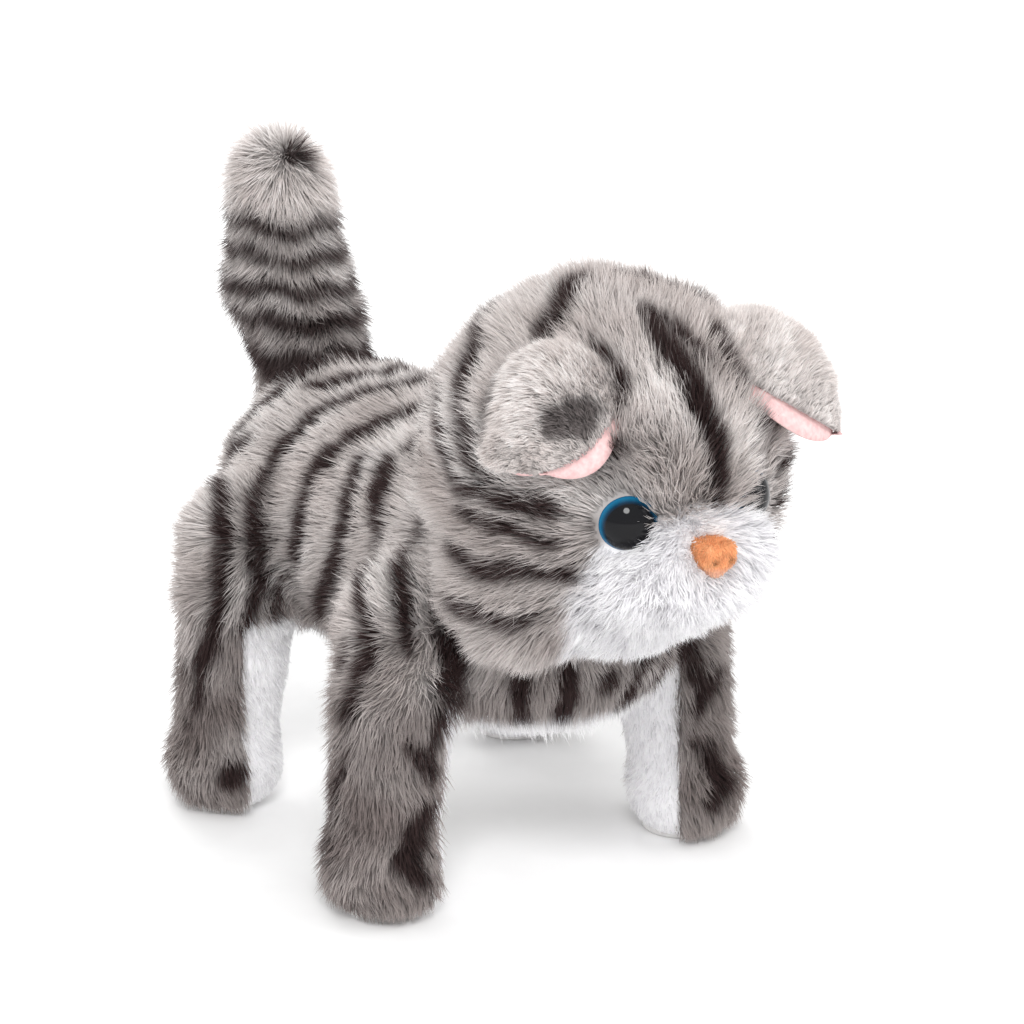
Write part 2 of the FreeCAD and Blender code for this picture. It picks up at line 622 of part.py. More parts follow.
def gear(name, teeth, bore):
    """A spur gear about X: a disc, one tooth repeated round it, and a bore."""
    body = doc.addObject("PartDesign::Body", name)
    pitch = "module * %s / 2" % teeth
    disc_sketch = sketch_on(body, "YZ_Plane", name + "_disc")
    disc_sketch.addGeometry(Part.Circle(Vector(), Vector(0, 0, 1), 1), False)
    disc_sketch.addConstraint(Sketcher.Constraint("Coincident", 0, 3, -1, 1))
    drive(disc_sketch, Sketcher.Constraint("Radius", 0, 1), "root", pitch + " - tooth_depth * module")
    disc = body.newObject("PartDesign::Pad", name + "_disc_pad")
    disc.Profile = disc_sketch
    disc.setExpression("Length", bound("gear_face"))
    tooth_sketch = sketch_on(body, "YZ_Plane", name + "_tooth")
    corners = [Vector(0.1, -0.5, 0), Vector(3, -0.2, 0), Vector(3, 0.2, 0), Vector(0.1, 0.5, 0)]
    for index in range(4):
        tooth_sketch.addGeometry(Part.LineSegment(corners[index], corners[(index + 1) % 4]), False)
    for index in range(4):
        tooth_sketch.addConstraint(Sketcher.Constraint("Coincident", index, 2, (index + 1) % 4, 1))
    tooth_sketch.addConstraint(Sketcher.Constraint("Symmetric", 1, 1, 1, 2, -1))
    tooth_sketch.addConstraint(Sketcher.Constraint("Symmetric", 3, 1, 3, 2, -1))
    drive(tooth_sketch, Sketcher.Constraint("DistanceX", -1, 1, 1, 1, 3), "tip",
          pitch + " + tooth_rise * module")
    drive(tooth_sketch, Sketcher.Constraint("DistanceX", -1, 1, 0, 1, 0.1), "foot",
          pitch + " - tooth_root * module")
    drive(tooth_sketch, Sketcher.Constraint("DistanceY", 1, 1, 1, 2, 0.4), "tip_wide",
          "tooth_tip_wide * module")
    drive(tooth_sketch, Sketcher.Constraint("DistanceY", 3, 2, 3, 1, 1.0), "foot_wide",
          "tooth_root_wide * module")
    tooth = body.newObject("PartDesign::Pad", name + "_tooth_pad")
    tooth.Profile = tooth_sketch
    tooth.setExpression("Length", bound("gear_face"))
    doc.recompute()
    ring = body.newObject("PartDesign::PolarPattern", name + "_teeth")
    ring.Originals = [tooth]
    ring.Axis = (axis_of(body, "X_Axis"), [""])
    ring.Angle = 360
    ring.Occurrences = int(number(teeth))
    body.Tip = ring
    doc.recompute()
    hole = doc.addObject("Part::Cylinder", name + "_bore")
    hole.setExpression("Radius", bound(bore))
    hole.setExpression("Height", bound("gear_face + 2"))
    hole.Placement = Placement(Vector(-1, 0, 0), Rotation(Vector(0, 1, 0), 90))
    return cut(name + "_gear", body, hole)


def gear_centres():
    """Crankshaft, idler and motor axes in Y and Z, spaced by their pitch radii."""
    apart = number("module * wheel_teeth * 0.5 + module * pinion_teeth * 0.5 + gear_play")
    crank = Vector(0, number("rear_hip_y"), number("hip_height + crank_rise"))
    places = [crank]
    for angle in (math.radians(number("idler_angle")), math.radians(number("motor_angle"))):
        places.append(places[-1] + Vector(0, math.cos(angle), math.sin(angle)) * apart)
    return places


def meshing_turn(first_teeth, first_turn, second_teeth, way):
    """The turn of a second gear, in degrees, that puts its gap on the first one's tooth."""
    phase = (way - first_turn) * first_teeth / 360.0
    return way + 180.0 - (0.5 - phase) * 360.0 / second_teeth


def gear_train():
    crank, idler, motor_axis = gear_centres()
    small, large = number("pinion_teeth"), number("wheel_teeth")
    wheel = gear("crank_wheel", "wheel_teeth", "shaft_radius + press_gap")
    wheel.Placement = Placement(crank + Vector(number("slow_gear_x"), 0, 0), Rotation())
    keep(wheel, "crank_gear")
    idler_turn = meshing_turn(large, 0.0, small, number("idler_angle"))
    slow = gear("idler_slow", "pinion_teeth", "motor_shaft_radius + pin_gap")
    slow.Placement = Placement(idler + Vector(number("slow_gear_x"), 0, 0),
                               Rotation(Vector(1, 0, 0), idler_turn))
    fast = gear("idler_fast", "wheel_teeth", "motor_shaft_radius + pin_gap")
    fast.Placement = Placement(idler + Vector(number("fast_gear_x"), 0, 0),
                               Rotation(Vector(1, 0, 0), idler_turn))
    neck_ring = sleeve("idler_sleeve", idler, "module * pinion_teeth * 0.5 - idler_neck * module",
                       "slow_gear_x + gear_face - 0.5", "fast_gear_x + 0.5", "motor_shaft_radius + pin_gap")
    keep(fuse("idler_piece", slow, fast, neck_ring), "idler_gear")
    shaft = rod_at("idler_rod", idler, "motor_shaft_radius", "-case_half + case_wall / 2",
                   "case_half - case_wall / 2")
    keep(shaft, "idler_shaft")
    pinion_turn = meshing_turn(large, idler_turn, small, number("motor_angle"))
    pinion = gear("motor_gear", "pinion_teeth", "motor_shaft_radius + press_gap")
    pinion.Placement = Placement(motor_axis + Vector(number("fast_gear_x"), 0, 0),
                                 Rotation(Vector(1, 0, 0), pinion_turn))
    keep(pinion, "motor_pinion")
    motor(motor_axis)


def rod_at(name, centre, radius, start, stop):
    item = doc.addObject("Part::Cylinder", name)
    item.setExpression("Radius", bound(radius))
    item.setExpression("Height", bound("(%s) - (%s)" % (stop, start)))
    item.Placement = Placement(Vector(number(start), centre.y, centre.z), Rotation(Vector(0, 1, 0), 90))
    return item


def sleeve(name, centre, radius, start, stop, bore):
    return cut(name, rod_at(name + "_outer", centre, radius, start, stop),
               rod_at(name + "_inner", centre, bore, start, stop))


def motor(axis):
    """A small can motor: a round can with two flats, a nose bearing, and its shaft."""
    can = rod_at("motor_can", axis, "motor_round", "motor_end_x - motor_long", "motor_end_x")
    flats = doc.addObject("Part::Box", "motor_flats")
    flats.setExpression("Length", bound("motor_long + 2"))
    flats.setExpression("Width", bound("motor_flat"))
    flats.setExpression("Height", bound("2 * motor_round"))
    flats.Placement.Base = Vector(number("motor_end_x - motor_long") - 1, axis.y - number("motor_flat") / 2,
                                  axis.z - number("motor_round"))
    nose_ring = rod_at("motor_nose", axis, "motor_nose_radius", "motor_end_x - 1",
                       "motor_end_x + motor_nose_rise")
    bearing = rod_at("motor_bearing", axis, "motor_shaft_radius + pin_gap",
                     "motor_end_x - 4", "motor_end_x + 2")
    whole = fuse("motor_whole", common("motor_body", can, flats), nose_ring)
    keep(cut("motor_piece", whole, bearing), "motor")
    shaft = rod_at("motor_rod", axis, "motor_shaft_radius",
                   "motor_end_x - 3.5", "fast_gear_x + gear_face + 1")
    keep(shaft, "motor_shaft")


def cranks():
    """One steel shaft with a disc at each end; the two pins stand half a turn apart."""
    shaft = cylinder_x("crank_rod", "shaft_radius",
                       ("-crank_inner - crank_thick / 2", "crank_inner + crank_thick / 2"),
                       "rear_hip_y", CRANK_Z)
    keep(shaft, "crankshaft")
    for side, word in ((1, "left"), (-1, "right")):
        disc = cylinder_x("crank_face_" + word, "crank_radius",
                          across(side, "crank_inner", "crank_inner + crank_thick"), "rear_hip_y", CRANK_Z)
        pin = cylinder_x("crank_pin_" + word, "pin_radius",
                         across(side, "crank_inner + crank_thick / 2",
                                "crank_inner + crank_thick + crank_pin_long"),
                         "rear_hip_y", "%s %s crank_throw" % (CRANK_Z, "+" if side > 0 else "-"))
        seat = cylinder_x("crank_seat_" + word, "shaft_radius + press_gap",
                          across(side, "crank_inner - 1", "crank_inner + crank_thick / 2"),
                          "rear_hip_y", CRANK_Z)
        whole = fuse("crank_whole_" + word, disc, pin)
        keep(cut("crank_piece_" + word, whole, seat), "crank_disc_" + word)


# Chassis

def wall_holes(name):
    """Holes through both side walls for the hip pins, the crankshaft and the idler shaft."""
    span = ("-case_half - 1", "case_half + 1")
    holes = [cylinder_x("%s_hip_%s" % (name, end), "pin_radius + pin_gap", span,
                        end + "_hip_y", "hip_height")
             for end in ("front", "rear")]
    holes.append(cylinder_x(name + "_crank", "shaft_radius + pin_gap", span, "rear_hip_y", CRANK_Z))
    idler = gear_centres()[1]
    holes.append(rod_at(name + "_idler", idler, "motor_shaft_radius", "-case_half + case_wall / 2",
                        "case_half - case_wall / 2"))
    return holes


SCREW_PLACES = (("front", "case_front + 3 * case_wall"), ("rear", "case_rear - 3 * case_wall"))


def screw_posts(name, radius, low, high):
    """One round post or hole at each corner of the chassis."""
    return [cylinder_z("%s_%s_%s" % (name, end, word), radius, side_x(side, "screw_x"), y, (low, high))
            for end, y in SCREW_PLACES for side, word in ((1, "left"), (-1, "right"))]


def chassis_lower():
    """A tub with the battery well under it, open below where the door closes it."""
    tub = box("tub", ("-case_half", "case_half"), ("case_front", "case_rear"), ("case_floor", "case_split"))
    tub_room = box("tub_room", ("-case_half + case_wall", "case_half - case_wall"),
                   ("case_front + case_wall", "case_rear - case_wall"),
                   ("case_floor + case_wall", "case_split + 1"))
    shell = cut("tub_shell", tub, tub_room)
    well = box("well", ("-well_half", "well_half"), ("well_front", "well_rear"),
               ("well_bottom", "well_roof + 0.75 * case_wall"))
    posts = screw_posts("tub_post", "post_radius", "case_floor", "case_split")
    whole = fuse("tub_whole", shell, well, *posts)
    cell_room = box("cell_room", ("-door_half", "door_half"), ("door_front", "door_rear"),
                    ("well_bottom - 1", "well_roof"))
    switch_room = box("switch_room", ("-well_half + case_wall", "well_half - case_wall"),
                      ("well_front + case_wall", "door_front - case_wall"),
                      ("well_bottom + case_wall", "well_roof + case_wall + 1"))
    knob_slot = box("knob_slot", ("-knob_wide / 2 - fit_gap", "knob_wide / 2 + switch_travel + fit_gap"),
                    ("switch_y - knob_deep / 2 - fit_gap", "switch_y + knob_deep / 2 + fit_gap"),
                    ("well_bottom - 1", "well_bottom + case_wall + 1"))
    pilots = screw_posts("tub_pilot", "screw_radius", "case_split - screw_long + case_wall", "case_split + 1")
    lug_hole = cylinder_z("door_lug_hole", "screw_radius", "0", "door_rear + 1.5 * case_wall",
                          ("well_bottom - 1", "well_bottom + screw_long"))
    bottoms = wall_holes("tub_hole")
    keep(cut("tub_piece", whole, cell_room, switch_room, knob_slot, lug_hole, *(pilots + bottoms)),
         "chassis_lower")


def chassis_upper():
    """The cover: a low plate at the front and a box over the walking gear."""
    plate = box("cover_plate", ("-case_half", "case_half"), ("case_front", "cover_front + case_wall"),
                ("case_split", "case_split + case_wall"))
    hood = box("hood", ("-case_half", "case_half"), ("cover_front", "case_rear"), ("case_split", "case_top"))
    hood_room = box("hood_room", ("-case_half + case_wall", "case_half - case_wall"),
                    ("cover_front + case_wall", "case_rear - case_wall"),
                    ("case_split - 1", "case_top - case_wall"))
    rear_y = SCREW_PLACES[1][1]
    posts = [cylinder_z("hood_post_" + word, "well_post_radius", side_x(side, "screw_x"), rear_y,
                        ("case_split", "case_top - case_wall / 2"))
             for side, word in ((1, "left"), (-1, "right"))]
    wells = [cylinder_z("hood_well_" + word, "screw_head + fit_gap", side_x(side, "screw_x"), rear_y,
                        ("case_split + 3 * case_wall", "case_top + 1"))
             for side, word in ((1, "left"), (-1, "right"))]
    shell = fuse("cover_whole", cut("hood_shell", hood, hood_room), plate, *posts)
    drills = screw_posts("cover_drill", "screw_radius + pin_gap", "case_split - 1",
                         "case_split + 3 * case_wall + 1")
    tail_hole = cylinder_y("tail_pin_hole", "tail_pin_radius + pin_gap", "0",
                           ("case_rear - case_wall - 1", "case_rear + 1"), "tail_height")
    grille = [cylinder_z("grille_%d" % index, "1", str(3 * (index - 1)), "speaker_y",
                         ("case_top - case_wall - 1", "case_top + 1")) for index in range(3)]
    holes = wells + drills + grille + wall_holes("cover_hole")
    keep(cut("cover_piece", shell, tail_hole, *holes), "chassis_upper")


def screw(name, x, y, z, up):
    """A pan-head screw with a straight shank; up is +1 with the head on top, -1 under."""
    shank_low, head_low = ("-screw_long", "0") if up > 0 else ("0", "-screw_head_tall")
    shank = cylinder_z(name + "_shank", "screw_radius", x, y, ("%s + (%s)" % (z, shank_low),
                                                              "%s + (%s) + screw_long" % (z, shank_low)))
    head = cylinder_z(name + "_head", "screw_head", x, y, ("%s + (%s)" % (z, head_low),
                                                          "%s + (%s) + screw_head_tall" % (z, head_low)))
    slot_z = "%s + screw_head_tall / 2" % z if up > 0 else "%s - screw_head_tall" % z
    slot = box(name + "_slot", (x + " - screw_head", x + " + screw_head"), (y + " - 0.3", y + " + 0.3"),
               (slot_z, slot_z + " + screw_head_tall / 2"))
    return cut(name, fuse(name + "_whole", shank, head), slot)


def chassis_screws():
    seats = {"front": "case_split + case_wall", "rear": "case_split + 3 * case_wall"}
    screws = [screw("case_screw_%s_%s" % (end, word), side_x(side, "screw_x"), y, seats[end], 1)
              for end, y in SCREW_PLACES for side, word in ((1, "left"), (-1, "right"))]
    keep(group("case_screw_group", *screws), "chassis_screws")


# Electrics

def battery_door():
    """A flat cover in the mouth of the well, with finger ribs, held by one screw."""
    plate = box("door_plate", ("-door_half + fit_gap", "door_half - fit_gap"),
                ("door_front + fit_gap", "door_rear - fit_gap"), ("well_bottom", "well_bottom + case_wall"))
    lug = box("door_lug", ("-2 * screw_head", "2 * screw_head"),
              ("door_rear - 3 * case_wall", "well_rear - fit_gap"),
              ("well_bottom - case_wall / 2", "well_bottom"))
    ribs = [box("door_rib_%d" % index, ("-door_half / 2", "door_half / 2"),
                ("door_front + case_wall + %s * door_rib_step" % index,
                 "door_front + case_wall + %s * door_rib_step + door_rib" % index),
                ("well_bottom - 0.6", "well_bottom"))
            for index in range(4)]
    hole = cylinder_z("door_screw_hole", "screw_radius + pin_gap", "0", "door_rear + 1.5 * case_wall",
                      ("well_bottom - case_wall", "well_bottom + case_wall"))
    keep(cut("door_piece", fuse("door_whole", plate, lug, *ribs), hole), "battery_door")
    keep(screw("door_screw_piece", "0", "door_rear + 1.5 * case_wall", "well_bottom - case_wall / 2", -1),
         "door_screw")


def cells():
    bodies = []
    for side, word in ((1, "left"), (-1, "right")):
        case = cylinder_y("cell_case_" + word, "cell_radius", side_x(side, "cell_x"),
                          ("cell_front", "cell_front + cell_long"), "cell_height")
        tip_y = ("cell_front + cell_long", "cell_front + cell_long + 1") if side > 0 else \
                ("cell_front - 1", "cell_front")
        tip = cylinder_y("cell_tip_" + word, "cell_radius / 3", side_x(side, "cell_x"), tip_y, "cell_height")
        bodies.append(fuse("cell_" + word, case, tip))
    keep(group("cell_group", *bodies), "battery_cells")


def contacts():
    """A spring contact for each cell's flat end and a plate for its tip."""
    pieces = []
    for side, word in ((1, "left"), (-1, "right")):
        x = side_x(side, "cell_x")
        front, rear = "door_front", "door_rear"
        flat_front = side > 0
        for at_front in (True, False):
            end = "front" if at_front else "rear"
            wall = (front, front + " + contact_thick") if at_front else (rear + " - contact_thick", rear)
            plate = box("contact_%s_%s" % (end, word),
                        (x + " - spring_radius - 1", x + " + spring_radius + 1"),
                        wall, ("cell_height - spring_radius - 1", "cell_height + spring_radius + 1"))
            solids = [plate]
            if at_front == flat_front:
                reach = (front, "cell_front") if at_front else ("cell_front + cell_long", rear)
                coil = cylinder_y("coil_%s_%s" % (end, word), "spring_radius", x, reach, "cell_height")
                bore = cylinder_y("coil_bore_%s_%s" % (end, word), "spring_radius - 0.7", x, reach, "cell_height")
                solids.append(cut("coil_ring_%s_%s" % (end, word), coil, bore))
            pieces.append(fuse("contact_piece_%s_%s" % (end, word), *solids) if len(solids) > 1 else plate)
    keep(group("contact_group", *pieces), "battery_contacts")


def power_switch():
    """A slide switch: its body stands in the well and its knob comes out below."""
    body = box("switch_case",
               ("-switch_wide / 2 + switch_travel / 2", "switch_wide / 2 + switch_travel / 2"),
               ("switch_y - switch_deep / 2", "switch_y + switch_deep / 2"),
               ("well_bottom + case_wall + fit_gap", "well_bottom + case_wall + fit_gap + switch_tall"))
    room = box("switch_slot", ("-knob_wide / 2 - fit_gap", "knob_wide / 2 + switch_travel + fit_gap"),
               ("switch_y - knob_deep / 2 - fit_gap", "switch_y + knob_deep / 2 + fit_gap"),
               ("well_bottom + case_wall", "well_bottom + 2 * case_wall + fit_gap"))
    keep(cut("switch_piece", body, room), "switch_body")
    knob = box("knob", ("-knob_wide / 2", "knob_wide / 2"),
               ("switch_y - knob_deep / 2", "switch_y + knob_deep / 2"),
               ("well_bottom - knob_drop", "well_bottom + 2 * case_wall"))
    grooves = [box("knob_groove_%d" % index, ("%s" % (1.2 * index - 1.5), "%s" % (1.2 * index - 0.9)),
                   ("switch_y - knob_deep", "switch_y + knob_deep"),
                   ("well_bottom - knob_drop", "well_bottom - knob_drop + 0.4")) for index in range(3)]
    keep(cut("knob_piece", knob, *grooves), "power_switch")


def electronics():
    board = box("board_plate", ("-board_half", "board_half"), ("board_front", "board_rear"),
                ("board_height", "board_height + board_thick"))
    chips = [box("chip", ("-4", "4"), ("board_front + 8", "board_front + 16"),
                 ("board_height + board_thick", "board_height + board_thick + 1.5")),
             cylinder_z("capacitor", "2.5", "8", "board_front + 22",
                        ("board_height + board_thick", "board_height + board_thick + 4")),
             cylinder_z("capacitor_small", "1.6", "-8", "board_front + 22",
                        ("board_height + board_thick", "board_height + board_thick + 3"))]
    keep(fuse("board_piece", board, *chips), "circuit_board")
    rim = cylinder_z("speaker_rim", "speaker_radius", "0", "speaker_y",
                     ("speaker_height + speaker_tall / 2", "speaker_height + speaker_tall"))
    magnet = cylinder_z("speaker_magnet", "speaker_radius / 2", "0", "speaker_y",
                        ("speaker_height", "speaker_height + speaker_tall / 2"))
    keep(fuse("speaker_piece", rim, magnet), "speaker")


def build():
    fill_sheet()
    plush_body()
    head_ball()
    neck()
    eyes()
    face()
    for side, word in ((1, "left"), (-1, "right")):
        ear(side, word)
        link_rod(side, word)
    tail()
    for end, side, word in leg_sides():
        leg_plush(end, side, word)
        leg_frame(end, side, word)
        foot_pad(end, side, word)
    hip_pins()
    gear_train()
    cranks()
    chassis_lower()
    chassis_upper()
    chassis_screws()
    battery_door()
    cells()
    contacts()
    power_switch()
    electronics()
    doc.recompute()


def check():
    for item in doc.Objects:
        if "Invalid" in item.State or "Error" in item.State:
            raise RuntimeError("%s failed: %s" % (item.Name, item.State))
    for item in parts:
        if item.Shape.isNull() or not item.Shape.isValid() or item.Shape.Volume <= 0:
            raise RuntimeError("%s has no valid shape" % item.Label)


def export():
    os.makedirs("parts", exist_ok=True)
    for item in parts:
        item.Shape.exportStep("parts/%s.step" % item.Label)


build()
check()
export()
print("%d sub-parts" % len(parts))
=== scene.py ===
import json
import math

import bpy
import numpy as np
from mathutils import Matrix, Vector


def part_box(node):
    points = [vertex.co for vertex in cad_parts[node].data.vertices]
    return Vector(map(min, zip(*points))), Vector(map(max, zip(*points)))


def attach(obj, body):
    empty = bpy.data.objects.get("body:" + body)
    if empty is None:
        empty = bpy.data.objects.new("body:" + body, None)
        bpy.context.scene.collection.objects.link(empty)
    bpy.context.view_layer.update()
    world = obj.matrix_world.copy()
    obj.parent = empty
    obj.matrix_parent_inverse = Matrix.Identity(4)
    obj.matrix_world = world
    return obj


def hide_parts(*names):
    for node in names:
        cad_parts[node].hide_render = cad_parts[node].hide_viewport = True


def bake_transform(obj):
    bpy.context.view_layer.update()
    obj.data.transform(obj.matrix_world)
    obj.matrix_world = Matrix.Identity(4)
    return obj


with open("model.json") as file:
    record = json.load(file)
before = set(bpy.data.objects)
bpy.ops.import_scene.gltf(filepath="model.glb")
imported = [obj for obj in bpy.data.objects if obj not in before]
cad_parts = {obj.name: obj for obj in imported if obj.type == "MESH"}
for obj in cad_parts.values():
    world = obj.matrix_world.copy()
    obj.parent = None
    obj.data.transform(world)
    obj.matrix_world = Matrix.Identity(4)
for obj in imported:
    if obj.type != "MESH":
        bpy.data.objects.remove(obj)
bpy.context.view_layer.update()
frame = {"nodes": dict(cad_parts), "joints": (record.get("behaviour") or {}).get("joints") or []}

# The looks of a walking plush kitten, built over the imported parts.
# Shapes are worked out in millimetres, in the same frame as the parts: it
# faces -Y, its left side is +X, and the floor is at z = 0. Meshes are made in
# metres. A piece of plush is two pieces here: its cloth, and the pile on it.

MM = 0.001
joints = {joint["name"]: joint for joint in frame["joints"]}


# ---------------------------------------- places

def corners(node):
    """The lowest and the highest corner of a part, in millimetres."""
    low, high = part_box(node)
    return np.array(low) / MM, np.array(high) / MM


def middle(node):
    low, high = corners(node)
    return (low + high) / 2


def pivot(joint):
    return np.array(joints[joint]["pos_m"]) / MM


HEAD = pivot("head_nod")
TAIL_ROOT = pivot("tail_wag")
HIP_FRONT = pivot("leg_front_left_swing")
HIP_REAR = pivot("leg_rear_left_swing")
LEG_X = HIP_FRONT[0]
BODY_LOW, BODY_HIGH = corners("body_fur")
TAIL_LOW, TAIL_HIGH = corners("tail_fur")
WELL_LOW, WELL_HIGH = corners("battery_door")
NOSE = middle("nose") - (0, 0, 1.2)
EYE_R = 7.1         # an eye's radius
EYE_RISE = 3.4      # how far its dome stands out of the cloth
EAR_LOW, EAR_HIGH = corners("ear_left")
EYE_AXIS = middle("eye_left") + (1.0, -5, -1.2) - HEAD
EYE_AXIS /= np.linalg.norm(EYE_AXIS)
EAR_TIP = np.array(
    [EAR_HIGH[0] - 3.0, (EAR_LOW + EAR_HIGH)[1] / 2 - 1, EAR_LOW[2] + 1.5]
)
# The front, ridge and back of the left ear. Each leaves the head at its first
# point, sets off towards its second, and ends at its third.
EAR_LINES = (
    (HEAD + (15, -24, 25.5), HEAD + (29, -40, 14), EAR_TIP + (-3, -5, 0.5)),
    (HEAD + (17, -18, 29), HEAD + (38, -24, 38), EAR_TIP + (0.5, 0, 0.5)),
    (HEAD + (20, -11, 30), HEAD + (38, -9, 30), EAR_TIP + (0.5, 5, 2.5)),
)

LIE = 4.5           # how far laid pile stands off its cloth
BELLY_Z = BODY_LOW[2]
TRUNK_R = BODY_HIGH[0] - 4.5
TRUNK_Z = BODY_HIGH[2] - TRUNK_R - LIE + 1.0
HEAD_R = (corners("head_fur")[1] - corners("head_fur")[0])[0] / 2 - 3.0
TAIL_R = (TAIL_HIGH - TAIL_LOW)[0] / 2 - 4.2
TAIL_Y = (TAIL_HIGH + TAIL_LOW)[1] / 2 + 10.0
TAIL_Z = TAIL_HIGH[2] - 9.5


# ---------------------------------------- fields

# A field gives how far each point is outside a shape, below zero inside it.

def ball(p, centre, radii):
    """A ball, or an ellipsoid with its radii along X, Y and Z."""
    q = (p - np.array(centre, float)) / radii
    size = np.linalg.norm(q, axis=1)
    slope = np.maximum(np.linalg.norm(q / radii, axis=1), 1e-9)
    return size * (size - 1) / slope


def rod(p, a, b, start, end):
    """A round rod from a to b whose radius goes from start to end."""
    a = np.array(a, float)
    along = np.array(b, float) - a
    share = np.clip((p - a) @ along / (along @ along), 0, 1)
    away = np.linalg.norm(p - a - share[:, None] * along, axis=1)
    return away - (start + (end - start) * share)


def block(p, low, high):
    low, high = np.array(low, float), np.array(high, float)
    q = np.abs(p - (low + high) / 2) - (high - low) / 2
    outside = np.linalg.norm(np.maximum(q, 0), axis=1)
    return outside + np.minimum(q.max(axis=1), 0)


def mirrored(p):
    """Points with their left and right sides laid on each other."""
    q = p.copy()
    q[:, 0] = np.abs(q[:, 0])
    return q


def melt(a, b, soft):
    """Two fields joined, with their crease filled over a width of soft."""
    share = np.clip(0.5 + 0.5 * (b - a) / soft, 0, 1)
    return b * (1 - share) + a * share - soft * share * (1 - share)


def gradient(field, p, step=0.3):
    slope = np.empty_like(p)
    for axis in range(3):
        move = np.zeros(3)
        move[axis] = step
        slope[:, axis] = (field(p + move) - field(p - move)) / (2 * step)
    return slope


def unit(v):
    return v / np.maximum(np.linalg.norm(v, axis=1), 1e-9)[:, None]


def smooth(low, high, value):
    """0 below low, 1 above high, and an S-shaped step between them."""
    t = np.clip((value - low) / (high - low), 0, 1)
    return t * t * (3 - 2 * t)


def trunk(p):
    """The body without its legs: a round back, a deep chest and a rump."""
    back = rod(
        p,
        (0, HIP_FRONT[1] + 4.5, TRUNK_Z),
        (0, HIP_REAR[1] + 6, TRUNK_Z - 3.5),
        TRUNK_R,
        TRUNK_R - 1,
    )
    chest = ball(p, (0, HIP_FRONT[1] - 5, TRUNK_Z - 11), (29, 24, 25))
    return melt(back, chest, 10)


def leg(p, hip):
    """One leg: a tube that widens into its haunch above and its paw below."""
    side = np.sign(hip[0])
    haunch_r, ankle_r = 14, 11.2
    haunch = (side * 36, hip[1], 68)
    ankle = (side * (LEG_X - 0.5), hip[1] - 1, 13)
    tube = rod(p, haunch, ankle, haunch_r, ankle_r)
    paw = ball(p, (side * (LEG_X - 0.5), hip[1] - 2, 10.5), (12, 12.5, 12))
    return np.maximum(melt(tube, paw, 6), 1.4 - p[:, 2])


def hip_of(end, side):
    hip = (HIP_FRONT if end == "front" else HIP_REAR).copy()
    hip[0] *= 1 if side == "left" else -1
    return hip


LEGS = {
    f"leg_{end}_{side}": hip_of(end, side)
    for end in ("front", "rear")
    for side in ("left", "right")
}


def tail_core(p):
    """The tail's cloth tube: it leans back out of the rump, then stands."""
    bend = (0, TAIL_Y, TAIL_ROOT[2] + 34)
    lean = rod(p, TAIL_ROOT + (0, 1, 2), bend, TAIL_R + 1.5, TAIL_R + 1.2)
    stand = rod(p, bend, (-1.5, TAIL_Y + 1, TAIL_Z), TAIL_R + 1.2, TAIL_R - 0.4)
    return melt(lean, stand, 6)


def head_ball(p):
    return ball(p, HEAD, (HEAD_R, HEAD_R, HEAD_R + 1.5))


def face(p):
    """The head with its cheeks, its muzzle and its chin."""
    cheek = ball(mirrored(p), HEAD + (21, 0, -26), (15.5, 17, 15.5))
    muzzle = ball(p, NOSE + (0, 13, -6.5), (20.5, 12.5, 11.5))
    chin = ball(p, HEAD + (0, -9, -26), (18, 15, 13.5))
    return melt(melt(melt(head_ball(p), cheek, 8), muzzle, 6), chin, 8)


def coat(p):
    """The body and its four legs as one skin, for the pile to stand on."""
    total = trunk(p)
    for hip in LEGS.values():
        total = melt(total, leg(p, hip), 10)
    return total


def swept(field, joint):
    """A field of all the places that a shape takes as its joint turns."""
    centre = pivot(joint)
    axis = Vector(joints[joint]["axis"])
    turns = [
        np.array(Matrix.Rotation(math.radians(angle), 3, axis))
        for angle in np.linspace(*joints[joint]["range_deg"], 5)
    ]
    return lambda p: np.minimum.reduce(
        [field((p - centre) @ turn.T + centre) for turn in turns]
    )


head_room = swept(face, "head_nod")
tail_room = swept(tail_core, "tail_wag")


def trunk_cloth(p):
    """The trunk with the hollows that the head and the tail turn in."""
    gap = 0.8
    hollow = np.maximum(gap - head_room(p), gap - tail_room(p))
    return np.maximum(np.maximum(trunk(p), hollow), BELLY_Z - 0.4 - p[:, 2])


def window(p, behind, top):
    """The opening in the belly for the battery door and the power switch.

    It ends a distance behind the door, and reaches up to a height.
    """
    side, before = 2.5, 18.5
    return block(
        p,
        (WELL_LOW[0] - side, WELL_LOW[1] - before, 0),
        (WELL_HIGH[0] + side, WELL_HIGH[1] + behind, top),
    )


def belly_cloth(p):
    """The white belly under the coat, open where the battery door is."""
    opening = window(p, 0.8, BELLY_Z + 20)
    return np.maximum(np.maximum(trunk(p), p[:, 2] - BELLY_Z), -opening)


# ---------------------------------------- meshes

